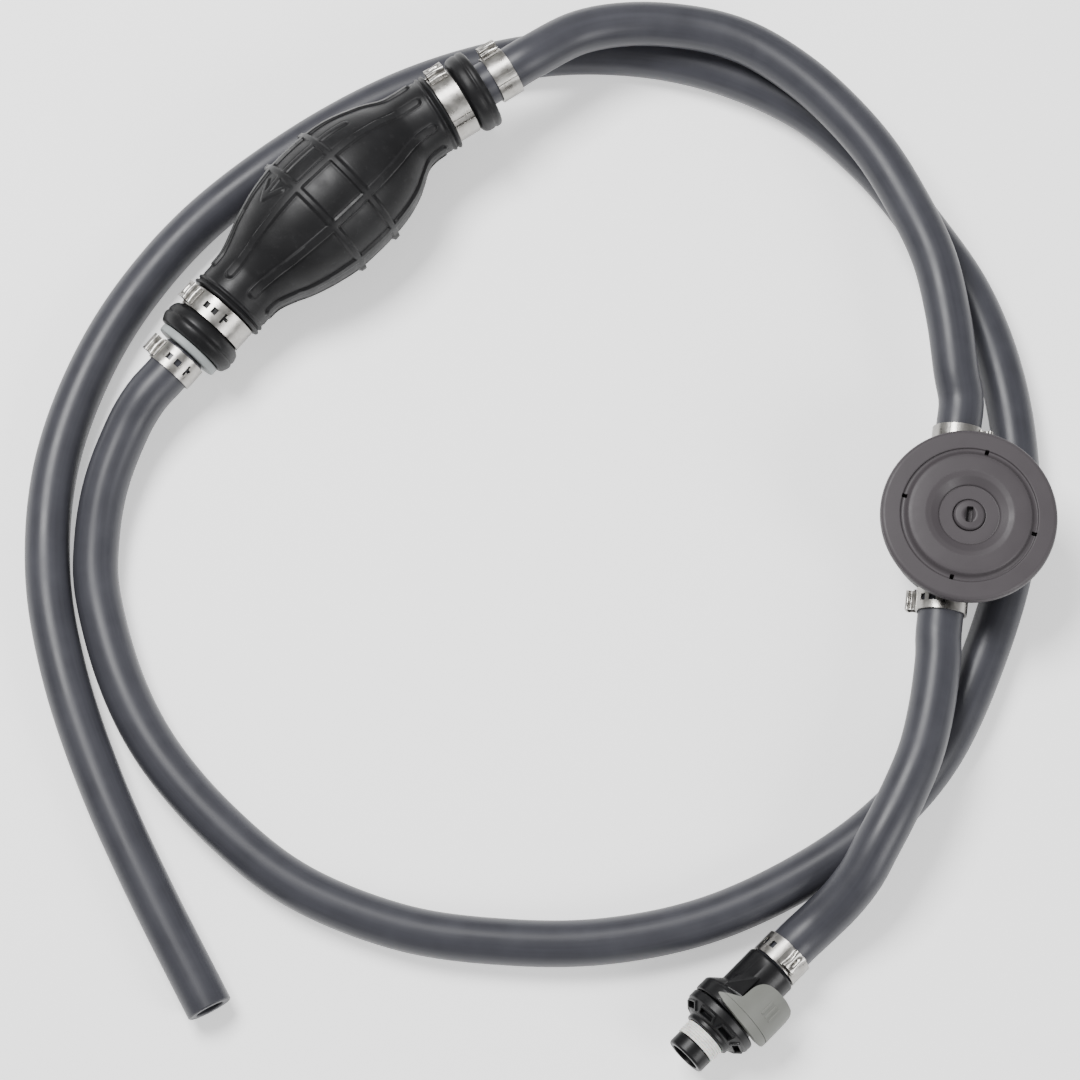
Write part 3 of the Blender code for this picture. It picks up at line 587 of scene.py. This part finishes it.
def build_studio():
    """A white table under two large softboxes and an even white surround."""
    world = bpy.data.worlds.new("studio")
    world.use_nodes = True
    world.node_tree.nodes["Background"].inputs["Color"].default_value = (1.0, 1.0, 1.0, 1.0)
    world.node_tree.nodes["Background"].inputs["Strength"].default_value = 0.42
    bpy.context.scene.world = world
    softbox("overhead", (-0.45, 0.42, 1.15), (0.0, 0.0, 0.0), 0.60, 0.45, 27.0)
    softbox("right_front", (1.0, -0.7, 0.8), (0.0, 0.0, 0.0), 0.5, 0.7, 12.0)
    shape = bmesh.new()
    bmesh.ops.create_grid(shape, x_segments=1, y_segments=1, size=3.0)
    floor = add_mesh("floor", shape, None)
    paper = Look("floor_paper", (0.93, 0.93, 0.93), 0.8)
    fibres = paper.noise(paper.coordinates("Object", (1.0, 1.0, 1.0)), 90.0)
    paper.join(paper.blend(fibres, (0.92, 0.92, 0.92), (0.94, 0.94, 0.94)), paper.shader.inputs["Base Color"])
    paper.shader.inputs["Emission Color"].default_value = (1.0, 1.0, 1.0, 1.0)
    paper.shader.inputs["Emission Strength"].default_value = 0.6
    floor.data.materials.append(paper.material)
    floor.location.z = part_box("valve_rear_plug")[0].z - 0.0002


# ---------------------------------------------------------------- primer bulb


def smooth_step(low, high, value):
    """0 at low, 1 at high and smooth between, whichever of the two is larger."""
    share = min(max((value - low) / (high - low), 0.0), 1.0)
    return share * share * (3 - 2 * share)


def capsule(x, y, start_x, start_y, end_x, end_y):
    """How far (x, y) is from the straight line between start and end."""
    run, rise = end_x - start_x, end_y - start_y
    share = ((x - start_x) * run + (y - start_y) * rise) / (run * run + rise * rise)
    share = min(max(share, 0.0), 1.0)
    return math.hypot(x - start_x - share * run, y - start_y - share * rise)


RIB_ANGLE = math.radians(12)    # from straight up, towards the side where the arrow is
RIB_STEP = math.tau / 8
RIB_HALF_WIDTH = 0.0014
RIB_HEIGHT = 0.0008
RING_HALF_WIDTH = 0.0012
RING_RIBS = (0.0092, -0.0073)
PARTING_ANGLE = RIB_ANGLE + 1.5 * RIB_STEP
ARROW_ANGLE = RIB_ANGLE + 0.5 * RIB_STEP
ARROW_STROKES = ((0.0215, 0.0, -0.0165, 0.0, 0.0011), (-0.0178, 0.0, -0.0115, 0.0048, 0.0009),
                 (-0.0178, 0.0, -0.0115, -0.0048, 0.0009))


def moulded_bar(outside, height):
    """A flat raised bar with a fine groove round its foot."""
    groove = smooth_step(0.0002, 0.0004, outside) * smooth_step(0.0010, 0.0006, outside)
    return height * smooth_step(0.0002, -0.0002, outside) - 0.00010 * groove


def bulb_relief(along, angle, radius):
    """Height of the moulded ribs and arrow over the plain bulb."""
    turn = (angle - RIB_ANGLE + RIB_STEP / 2) % RIB_STEP - RIB_STEP / 2
    heights = [moulded_bar(capsule(along, radius * turn, -0.0440, 0.0, 0.0450, 0.0) - RIB_HALF_WIDTH,
                           RIB_HEIGHT)]
    parting = abs((angle - PARTING_ANGLE + math.pi / 2) % math.pi - math.pi / 2)
    nub = smooth_step(0.16, 0.04, parting)
    for middle in RING_RIBS:
        heights.append(moulded_bar(abs(along - middle) - RING_HALF_WIDTH, RIB_HEIGHT + 0.0006 * nub))
    turn = (angle - ARROW_ANGLE + math.pi) % math.tau - math.pi
    if abs(turn) < 0.4 and -0.0200 < along < 0.0240:
        outside = min(capsule(along, radius * turn, *stroke[:4]) - stroke[4] for stroke in ARROW_STROKES)
        heights.append(moulded_bar(outside, 0.0004))
    raised = max(heights)
    if raised <= 0.0:
        raised = min(heights) + 0.00018 * smooth_step(0.0006, 0.0001, radius * parting)
    return raised


def bulb_outline():
    """(radius, along) down the outside, from the inlet mouth to the outlet mouth."""
    inlet_lip = [(BULB_MOUTH, 0.0665), (BULB_MOUTH, 0.0690), (0.0100, 0.0693), (0.0130, 0.0692),
                 (0.0140, 0.0690), (0.0146, 0.0686), (0.0149, 0.0677), (0.0149, 0.0668), (0.0145, 0.0662),
                 (0.0148, 0.0655), (0.0148, 0.0640), (0.0145, 0.0628), (0.0138, 0.0620), (0.0126, 0.0614)]
    inlet_groove = [(BULB_GROOVE, 0.0610), (BULB_GROOVE, 0.0570), (BULB_GROOVE, 0.0526)]
    inlet_bead = [(0.0138, 0.0524), (0.0145, 0.0520), (0.0145, 0.0514), (0.0138, 0.0509), (0.0138, 0.0505),
                  (0.0144, 0.0501), (0.0144, 0.0495), (0.0137, 0.0489), (0.01385, 0.0480)]
    belly = [(BULB_NECK - 0.0002, 0.0450), (BULB_NECK, 0.0400), (0.0150, 0.0359), (0.0188, 0.0287),
             (0.0217, 0.0215), (0.0234, 0.0144), (BULB_BELLY - 0.0001, 0.0060), (BULB_BELLY, 0.0010),
             (BULB_BELLY - 0.0001, -0.0040), (0.0238, -0.0090), (0.0220, -0.0180), (0.0193, -0.0269),
             (0.0169, -0.0323), (0.0148, -0.0377), (BULB_NECK, -0.0410), (BULB_NECK - 0.0002, -0.0460)]
    outlet_bead = [(0.01385, -0.0486), (0.0137, -0.0493), (0.0144, -0.0499), (0.0144, -0.0505),
                   (0.0138, -0.0509), (0.0138, -0.0514), (0.0145, -0.0519), (0.0145, -0.0525),
                   (0.0138, -0.0529)]
    outlet_groove = [(BULB_GROOVE, -0.0532), (BULB_GROOVE, -0.0570), (BULB_GROOVE, -0.0616)]
    outlet_lip = [(0.0126, -0.0620), (0.0136, -0.0627), (0.0143, -0.0636), (0.0147, -0.0650),
                  (0.0148, -0.0660), (0.0145, -0.0666), (0.0149, -0.0672), (0.0149, -0.0682),
                  (0.0146, -0.0692), (0.0139, -0.0706), (0.0132, -0.0710), (0.0100, -0.0711),
                  (BULB_MOUTH, -0.0708), (BULB_MOUTH, -0.0690)]
    return inlet_lip + inlet_groove + inlet_bead + belly + outlet_bead + outlet_groove + outlet_lip


def build_bulb():
    """One closed rubber skin from mouth to mouth."""
    outline = [Vector((radius, along, 0.0)) for radius, along in bulb_outline()]
    outline = evenly_spaced(smooth_curve(outline, 8), 0.00046)
    sides = 384
    shape = bmesh.new()
    rings = []
    for n, (radius, along, _) in enumerate(outline):
        relief_on = abs(along) < 0.0485 and radius > BULB_MOUTH + 0.001
        place, turn = bulb_bend(along)
        tilt = Matrix.Rotation(turn, 3, "Y")
        ring = []
        for i in range(sides):
            angle = math.tau * i / sides
            out = radius + (bulb_relief(along, angle, radius) if relief_on else 0.0)
            section = Vector((out * math.sin(angle), out * math.cos(angle), 0.0))
            spot = BULB_FRAME @ (place + tilt @ section)
            if radius > BULB_GROOVE + 0.0005:
                dents = noise.noise(spot * 90.0) * 0.00012
                spot += (BULB_FRAME.to_3x3() @ (tilt @ section)).normalized() * dents
            ring.append(shape.verts.new(spot))
        rings.append(ring)
    for first, second in zip(rings, rings[1:] + rings[:1]):
        for i in range(sides):
            j = (i + 1) % sides
            shape.faces.new((first[i], first[j], second[j], second[i]))
    bulb = add_mesh("primer_bulb", shape, BULB_RUBBER, sharp=60.0)
    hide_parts("bulb_body", "bulb_press_wall")
    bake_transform(bulb)


def build_bulb_fittings():
    """The flange and neck between each lip and its hose; the rest is out of sight."""
    flange_end = OUTLET_HOSE_START + 0.0003
    outlet = turned("outlet_flange", [
        (0.0086, -0.0480), (0.0086, -0.0713), (0.0119, -0.0713), (0.0123, -0.0717),
        (0.0123, flange_end + 0.0005), (0.0118, flange_end), (0.0043, flange_end), (0.0043, -0.0950),
        (0.0028, -0.0950), (0.0028, -0.0480),
    ], OUTLET_FRAME, PALE_PLASTIC, 0.0003)
    place_piece(outlet, "line", "outlet_fitting")
    inlet = turned("inlet_collar", [
        (0.0028, 0.0900), (0.0043, 0.0900), (0.0043, 0.0690), (0.0086, 0.0690), (0.0086, 0.0480),
        (0.0028, 0.0480),
    ], INLET_FRAME, PALE_PLASTIC, 0.0003)
    place_piece(inlet, "line", "inlet_fitting")


# ---------------------------------------------------------------- ear clamps

EAR_SIDE = ((3.9, -0.38), (2.9, -0.05), (2.0, 0.40), (1.65, 1.2), (1.8, 1.9), (2.2, 2.5), (2.0, 3.0),
            (1.1, 3.15))
EAR_ROWS = 12
EAR_HALF_PLATE = 0.00033
WINDOWS = ((0.0071, 0.0093, 0.0012), (0.0106, 0.0128, 0.0012), (0.0152, 0.0160, 0.0019),
           (0.0160, 0.0172, 0.0006))


def ear_outline(pinch):
    """(sideways, height) of the ear's middle line in mm, over the band, dented by the pinch."""
    right = [Vector((sideways * (1 - 0.22 * pinch * min(1.0, max(0.0, height))), height, 0.0))
             for sideways, height in EAR_SIDE]
    left = [Vector((-point.x, point.y, 0.0)) for point in reversed(right)]
    return smooth_curve(right + [Vector((0.0, 3.15 - 1.1 * pinch, 0.0))] + left, 4)


def strip(shape, place, radius, thickness, first_angle, last_angle, width, windows=()):
    """Adds a bent metal strip; a window is (first angle, last angle, half width)."""
    steps = max(8, round((last_angle - first_angle) * radius / 0.0004))
    rows = 20
    grid = {}
    for layer in (0, 1):
        for i in range(steps + 1):
            angle = first_angle + (last_angle - first_angle) * i / steps
            out = radius + layer * thickness
            for j in range(rows + 1):
                z = width * (j / rows - 0.5)
                grid[layer, i, j] = shape.verts.new(
                    place @ Vector((out * math.cos(angle), out * math.sin(angle), z)))

    def is_open(i, j):
        if not (0 <= i < steps and 0 <= j < rows):
            return True
        angle = first_angle + (i + 0.5) / steps * (last_angle - first_angle)
        z = abs(width * ((j + 0.5) / rows - 0.5))
        return any(start < angle < end and z < half for start, end, half in windows)

    for i in range(steps):
        for j in range(rows):
            if is_open(i, j):
                continue
            corners = ((i, j), (i + 1, j), (i + 1, j + 1), (i, j + 1))
            for layer in (0, 1):
                shape.faces.new([grid[layer, *corner] for corner in corners])
            neighbours = ((i, j - 1), (i + 1, j), (i, j + 1), (i - 1, j))
            for side, (ni, nj) in enumerate(neighbours):
                if is_open(ni, nj):
                    a, b = corners[side], corners[(side + 1) % 4]
                    shape.faces.new((grid[0, *a], grid[0, *b], grid[1, *b], grid[1, *a]))
    loose = [vertex for vertex in shape.verts if not vertex.link_faces]
    bmesh.ops.delete(shape, geom=loose, context="VERTS")


def ear(shape, place, radius, width):
    """Adds the pinched ear: a folded plate that stands on the band, dented in the middle."""
    sections = []
    for row in range(EAR_ROWS + 1):
        z = width * (row / EAR_ROWS - 0.5)
        middle = ear_outline(math.cos(math.pi * z / width) ** 2)
        inner, outer = [], []
        for i, point in enumerate(middle):
            run = (middle[min(i + 1, len(middle) - 1)] - middle[max(i - 1, 0)]).normalized()
            normal = Vector((-run.y, run.x, 0.0))
            for side, line in ((-1, inner), (1, outer)):
                spot = point * MM + normal * EAR_HALF_PLATE * side
                line.append(shape.verts.new(place @ Vector((radius + spot.y, spot.x, z))))
        sections.append(inner + outer[::-1])
    count = len(sections[0])
    for first, second in zip(sections, sections[1:]):
        for i in range(count):
            j = (i + 1) % count
            shape.faces.new((first[i], first[j], second[j], second[i]))
    for end in (sections[0], sections[-1]):
        for i in range(count // 2 - 1):
            shape.faces.new((end[i], end[i + 1], end[count - 2 - i], end[count - 1 - i]))


def ear_clamp(node, place, middle, inside, ear_angle, backwards=False):
    """A stainless ear clamp: inner band, slotted outer band that ends in a step, and ear."""
    turn = place @ Matrix.Rotation(ear_angle, 4, "Z") @ Matrix.Translation((0.0, 0.0, middle))
    if backwards:
        turn = turn @ Matrix.Rotation(math.pi, 4, "X")
    shape = bmesh.new()
    layer = CLAMP_BAND / 2
    reach = 0.0030 / inside
    tail = math.radians(260)
    windows = [(start / inside, end / inside, half) for start, end, half in WINDOWS]
    strip(shape, turn, inside, layer - 0.00002, 0.0, math.tau * 0.999, CLAMP_WIDTH, windows)
    strip(shape, turn, inside + layer, layer, reach, tail, CLAMP_WIDTH, windows)
    strip(shape, turn, inside + layer, layer, tail + 0.0009 / inside, tail + 0.0024 / inside, CLAMP_WIDTH)
    strip(shape, turn, inside + layer, layer, tail + 0.0033 / inside, math.tau - reach, CLAMP_WIDTH)
    ear(shape, turn, inside + CLAMP_BAND, CLAMP_WIDTH * 0.84)
    clamp = add_mesh(node + "_band", shape, STAINLESS, sharp=40.0)
    bevel = clamp.modifiers.new("edges", "BEVEL")
    bevel.width = 0.00010
    bevel.segments = 2
    bevel.limit_method = "ANGLE"
    bevel.angle_limit = math.radians(40)
    settle(clamp)
    even_shading(clamp)
    place_piece(clamp, "line", node)


def build_clamps():
    ear_clamp("bulb_clamp_outlet", OUTLET_FRAME, -0.0575, BULB_CLAMP_INSIDE, math.radians(42))
    ear_clamp("bulb_clamp_inlet", INLET_FRAME, 0.0566, BULB_CLAMP_INSIDE, math.radians(46), backwards=True)
    ear_clamp("hose_clamp_outlet", OUTLET_FRAME, -0.0795, HOSE_CLAMP_INSIDE, math.radians(28))
    ear_clamp("hose_clamp_inlet", INLET_FRAME, 0.0774, HOSE_CLAMP_INSIDE, math.radians(30), backwards=True)
    outlet_middle = VALVE_OUTLET_HOSE_START + 0.0005 + CLAMP_WIDTH / 2
    inlet_middle = VALVE_INLET_HOSE_START - 0.0005 - CLAMP_WIDTH / 2
    ear_clamp("valve_clamp_outlet", FLOW_FRAME, outlet_middle, HOSE_CLAMP_INSIDE, math.radians(-105))
    ear_clamp("valve_clamp_inlet", FLOW_FRAME, inlet_middle, HOSE_CLAMP_INSIDE, math.radians(70))
    connector_middle = CONNECTOR_HOSE_START + 0.0003 + CLAMP_WIDTH / 2
    ear_clamp("connector_clamp", CONNECTOR_FRAME, connector_middle, HOSE_CLAMP_INSIDE, math.radians(112),
              backwards=True)


# ---------------------------------------------------------------- demand valve


def build_valve():
    body = turned("valve_housing", [
        (0.0260, 0.0340), (0.0265, 0.0334), (0.0265, 0.0190), (0.0245, 0.0170), (0.0105, 0.0170),
        (0.0105, 0.0006), (0.0099, 0.0), (0.0085, 0.0), (0.0085, 0.0043), (0.0065, 0.0043), (0.0065, 0.0245),
        (0.0040, 0.0245), (0.0040, 0.0253), (0.0053, 0.0253), (0.0053, 0.0275), (0.0220, 0.0275),
        (0.0220, 0.0340),
    ], VALVE_FRAME, BLACK_PLASTIC, 0.0006)
    notch = turned("hose_notch", [(0.0, -0.0229), (0.0094, -0.0229), (0.0094, -0.0300), (0.0, -0.0300)],
                   FLOW_FRAME, None, 0.0002, 48)
    cut(body, [notch])
    stubs = [turned(f"barb_{i}", [(0.0, high), (0.0043, high), (0.0043, low), (0.0, low)], FLOW_FRAME, None,
                    0.0004, 32) for i, (low, high) in enumerate(((0.0240, 0.0460), (-0.0400, -0.0210)))]
    cut(body, stubs, "UNION")
    place_piece(body, "line", "valve_body")
    cover = turned("valve_disc", [
        (0.0105, 0.0384), (0.0106, 0.0390), (0.0112, 0.0394), (0.0134, 0.0407), (0.0152, 0.0412),
        (0.0196, 0.0410), (0.0212, 0.0405), (0.0221, 0.0391), (0.0228, 0.0386), (0.0236, 0.0386),
        (0.0238, 0.0393), (0.0292, 0.0391), (0.0301, 0.0386), (0.0305, 0.0376), (0.0305, 0.0360),
        (0.0301, 0.0356), (0.0195, 0.0356), (0.0195, 0.0372), (0.0056, 0.0372), (0.0056, 0.0384),
    ], VALVE_FRAME, GREY_PLASTIC, 0.0004, 192)
    cut(cover, [blocks("vents", (0.0221, -0.0007, 0.0340), (0.0240, 0.0007, 0.0420),
                       around(VALVE_FRAME, 4, math.radians(-10)), 0.0002)])
    place_piece(cover, "line", "valve_cover")
    button = turned("valve_button", [
        (0.0, 0.0397), (0.0030, 0.0397), (0.0048, 0.0394), (0.0054, 0.0388), (0.0054, 0.0369),
        (0.0072, 0.0369), (0.0072, 0.0365), (0.0, 0.0365),
    ], VALVE_FRAME, GREY_PLASTIC, 0.0003, 64)
    cut(button, [blocks("slot", (-0.0027, -0.0011, 0.0373), (0.0027, 0.0011, 0.0410), [VALVE_FRAME], 0.0002)])
    place_piece(button, "valve_stem", "release_button")
    plug = turned("valve_foot_plug", [(0.0, 0.0040), (0.0082, 0.0040), (0.0082, 0.0), (0.0, 0.0)],
                  VALVE_FRAME, BLACK_PLASTIC, 0.0004)
    place_piece(plug, "line", "valve_rear_plug")


# ---------------------------------------------------------------- tank connector


def build_connector_body():
    root = 0.0167
    body = turned("connector_shell", [
        (0.0028, 0.0300), (0.0043, 0.0300), (0.0043, root), (0.0089, root), (0.0095, root - 0.0006),
        (0.0095, 0.0022), (0.0129, -0.0010), (0.0135, -0.0018), (0.0135, -0.0062), (0.0130, -0.0067),
        (0.0066, -0.0067), (0.0066, 0.0145), (0.0028, 0.0145),
    ], CONNECTOR_FRAME, BLACK_PLASTIC, 0.0005)
    shape = bmesh.new()
    corners = [(0.0068, 0.0073, 0.0054), (0.0003, 0.0101, 0.0094), (0.0003, 0.0127, 0.0004),
               (0.0070, 0.0109, 0.0000)]
    for x, y, along in corners + [(x, 0.0050, along) for x, _, along in corners]:
        shape.verts.new(CONNECTOR_FRAME @ Vector((x, y, along)))
    for x, y in ((0.0003, 0.0125), (0.0068, 0.0107), (0.0003, 0.0050), (0.0068, 0.0050)):
        shape.verts.new(CONNECTOR_FRAME @ Vector((x, y, -0.0030)))
    bmesh.ops.convex_hull(shape, input=shape.verts)
    cut(body, [add_mesh("shoulder_facet", shape, None)], "UNION")
    shifted = CONNECTOR_FRAME @ Matrix.Translation((0.0023, 0.0, 0.0))
    recess = turned("latch_recess", [(0.0200, 0.0040), (0.0200, -0.0075), (0.0129, -0.0075),
                                     (0.0129, 0.0040)],
                    shifted, None, 0.0001)
    cut(recess, [blocks("recess_side", (-0.0210, -0.0100, -0.0100), (0.0045, 0.0210, 0.0060),
                        [CONNECTOR_FRAME])],
        "INTERSECT")
    cut(body, [recess])
    place_piece(body, "line", "connector_body")


# The latch's outline, going round: (degrees about the connector's axis, mm along it).
LATCH_OUTLINE = (
    (64, -4.7), (74, -3.0), (83, -1.6), (91, -0.4), (91.5, 1.8), (92.5, 5.0), (97, 7.6), (105, 9.1),
    (116, 9.7), (135, 9.9), (155, 9.5), (168, 8.4), (177, 6.2), (182, 3.0), (182, -0.4), (179, -1.2),
    (180, -2.6), (178, -4.2), (171, -5.6), (160, -6.5), (147, -6.75), (128, -6.75), (105, -6.6), (80, -5.9),
)
LATCH_INSIDE = 0.0132
LATCH_OUTSIDE = 0.0161


def build_latch():
    """The grey press pad: a plate with this outline, bent round the collar."""
    corners = [Vector((math.radians(degrees) * LATCH_OUTSIDE, along * MM))
               for degrees, along in LATCH_OUTLINE]
    outline = softened(corners, 0.0012, 5)
    shape = bmesh.new()
    shape.faces.new([shape.verts.new((point.x, point.y, 0.0)) for point in outline])
    for degrees in range(62, 208, 3):
        bmesh.ops.bisect_plane(shape, geom=shape.verts[:] + shape.edges[:] + shape.faces[:],
                               plane_co=(math.radians(degrees) * LATCH_OUTSIDE, 0.0, 0.0),
                               plane_no=(1.0, 0.0, 0.0))
    raised = bmesh.ops.extrude_face_region(shape, geom=shape.faces[:])["geom"]
    tops = {element for element in raised if isinstance(element, bmesh.types.BMVert)}
    for vertex in shape.verts:
        angle = vertex.co.x / LATCH_OUTSIDE
        radius = LATCH_OUTSIDE if vertex in tops else LATCH_INSIDE
        vertex.co = CONNECTOR_FRAME @ Vector((radius * math.cos(angle), radius * math.sin(angle),
                                              vertex.co.y))
    latch = add_mesh("press_latch", shape, LATCH_PLASTIC, sharp=40.0)
    groove = turned("groove", [(0.0158, -0.0036), (0.0158, -0.0033), (0.0170, -0.0033), (0.0170, -0.0036)],
                    CONNECTOR_FRAME, None, 0.00005, 192)
    cut(latch, [groove])
    grip_places = [CONNECTOR_FRAME @ Matrix.Rotation(math.radians(degrees), 4, "Z")
                   for degrees in (122, 130, 138)]
    cut(latch, [blocks("grips", (0.0150, -0.0005, 0.0005), (0.01635, 0.0005, 0.0060), grip_places, 0.00025)],
        "UNION")
    bevel = latch.modifiers.new("edges", "BEVEL")
    bevel.width = 0.0004
    bevel.segments = 3
    bevel.limit_method = "ANGLE"
    bevel.angle_limit = math.radians(50)
    settle(latch)
    place_piece(even_shading(latch), "latch", "connector_latch")


def build_tank_fitting():
    """The threaded half: a ring, a cone with framed windows, the taped thread and the open nose."""
    fitting = turned("tank_thread_fitting", [
        (0.0057, 0.0034), (0.0061, 0.0030), (0.0061, 0.0019), (0.0047, 0.0019), (0.0047, -0.0001),
        (0.0061, -0.0001), (0.0061, -0.0070), (0.0128, -0.0070), (0.0133, -0.0074), (0.0133, -0.0101),
        (0.0127, -0.0107), (0.0095, -0.0137), (0.0087, -0.0139), (0.0087, -0.0153), (0.0083, -0.0157),
        (0.0066, -0.0157), (0.0066, -0.0212), (0.0072, -0.0212), (0.0072, -0.0254), (0.0068, -0.0260),
        (0.0054, -0.0260), (0.0053, -0.0257),
        (0.0053, -0.0235), (0.0032, -0.0230), (0.0032, 0.0034),
    ], CONNECTOR_FRAME, BLACK_PLASTIC, 0.0003)
    on_cone = [place @ Matrix.Translation((0.0111, 0.0, -0.0121)) @ Matrix.Rotation(math.radians(137), 4, "Y")
               for place in around(CONNECTOR_FRAME, 8, math.tau / 16)]
    cut(fitting, [blocks("window_frames", (-0.0018, -0.0034, -0.0008), (0.0018, 0.0034, 0.0004), on_cone,
                         0.0003)],
        "UNION")
    cut(fitting, [blocks("windows", (-0.0011, -0.0027, -0.0014), (0.0011, 0.0027, 0.0010), on_cone, 0.0002)])
    place_piece(fitting, "fitting", "tank_fitting")
    turns = []
    for i in range(6):
        low = -0.0210 + 0.00085 * i
        turns += [(0.00716, low + 0.00003), (0.00756, low + 0.00014), (0.00744, low + 0.00078)]
    tape = turned("thread_tape_wrap", [(0.0069, -0.0159), (0.0069, -0.0210)] + turns, CONNECTOR_FRAME,
                  WHITE_TAPE,
                  0.00004)
    place_piece(tape, "fitting", "thread_tape")


# ---------------------------------------------------------------- soft inner pieces

WIRE_SIDES = 8
MEMBRANE = 0.0004


def wire_spring(node, place, low, high, radius, wire, turns):
    """A wire coil about the place's axis, between low and high along it."""
    steps = 16 * turns
    path = []
    for i in range(steps + 1):
        angle = math.tau * i / 16
        along = low + wire + (high - low - 2 * wire) * i / steps
        path.append(place @ Vector((radius * math.cos(angle), radius * math.sin(angle), along)))
    shape = bmesh.new()
    rings = []
    for point, (_, side, up) in zip(path, carried_frames(path)):
        corners = [math.tau * k / WIRE_SIDES for k in range(WIRE_SIDES)]
        rings.append([shape.verts.new(point + wire * (math.cos(c) * side + math.sin(c) * up))
                      for c in corners])
    for first, second in zip(rings, rings[1:]):
        for k in range(WIRE_SIDES):
            shape.faces.new((first[k - 1], first[k], second[k], second[k - 1]))
    shape.faces.new(rings[0])
    shape.faces.new(rings[-1])
    spring = add_mesh(f"{node}_coil", shape, STAINLESS, sharp=60.0)
    place_piece(spring, "line", node)
    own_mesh(spring)


def build_springs():
    wire_spring("inlet_spring", INLET_FRAME, 0.0504, 0.0582, 0.0031, 0.0003, 4)
    wire_spring("outlet_spring", OUTLET_FRAME, -0.0637, -0.0521, 0.0040, 0.0003, 4)
    wire_spring("valve_spring", VALVE_FRAME, 0.0043, 0.0222, 0.0030, 0.0004, 6)
    wire_spring("connector_spring", CONNECTOR_FRAME, 0.0102, 0.0142, 0.0036, 0.0003, 3)
    under_latch = (CONNECTOR_FRAME @ Matrix.Translation((0.0, 0.0040, 0.0064))
                   @ Matrix.Rotation(math.radians(-90), 4, "Y"))
    wire_spring("latch_spring", under_latch, 0.0094, 0.0119, 0.0014, 0.0002, 3)


def build_diaphragm():
    """The clamped rim, and the sloping skirt inside it."""
    rim = turned("diaphragm_rim", [
        (0.0245, 0.0353), (0.0245, 0.0343), (0.0219, 0.0343), (0.0219, 0.0308), (0.0215, 0.0308),
        (0.0215, 0.0353),
    ], VALVE_FRAME, SEAL_RUBBER, 0.0001)
    place_piece(rim, "line", "valve_diaphragm")
    slope = []
    for i in range(17):
        share = i / 16
        slope.append((0.0130 + 0.0086 * share, 0.0350 - 0.0040 * smooth_step(0.0, 1.0, share)))
    profile = [(0.0, 0.0350 + MEMBRANE)] + [(radius, along + MEMBRANE) for radius, along in slope]
    profile += list(reversed(slope)) + [(0.0, 0.0350)]
    shape = bmesh.new()
    lathe(shape, profile, VALVE_FRAME, 96, closed=False)
    skirt = add_mesh("diaphragm_skirt", shape, SEAL_RUBBER)
    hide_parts("valve_diaphragm")
    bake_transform(skirt)


# ---------------------------------------------------------------- putting it together

HIDDEN_LOOKS = {
    SEAL_RUBBER: ("fitting_oring", "valve_seat", "connector_seat"),
    BLACK_PLASTIC: ("inlet_poppet", "inlet_retainer", "outlet_seat", "outlet_poppet", "valve_poppet",
                    "connector_poppet"),
    STAINLESS: ("diaphragm_plate",),
}


def dress_inner_nodes():
    """The model's own inner pieces keep their shape and take the finished materials."""
    for look, nodes in HIDDEN_LOOKS.items():
        for node in nodes:
            mesh = frame["nodes"][node].data
            mesh.materials.clear()
            mesh.materials.append(look)


build_camera()
build_hoses()
build_studio()
build_bulb()
build_bulb_fittings()
build_clamps()
build_valve()
build_connector_body()
build_latch()
build_tank_fitting()
build_springs()
build_diaphragm()
dress_inner_nodes()
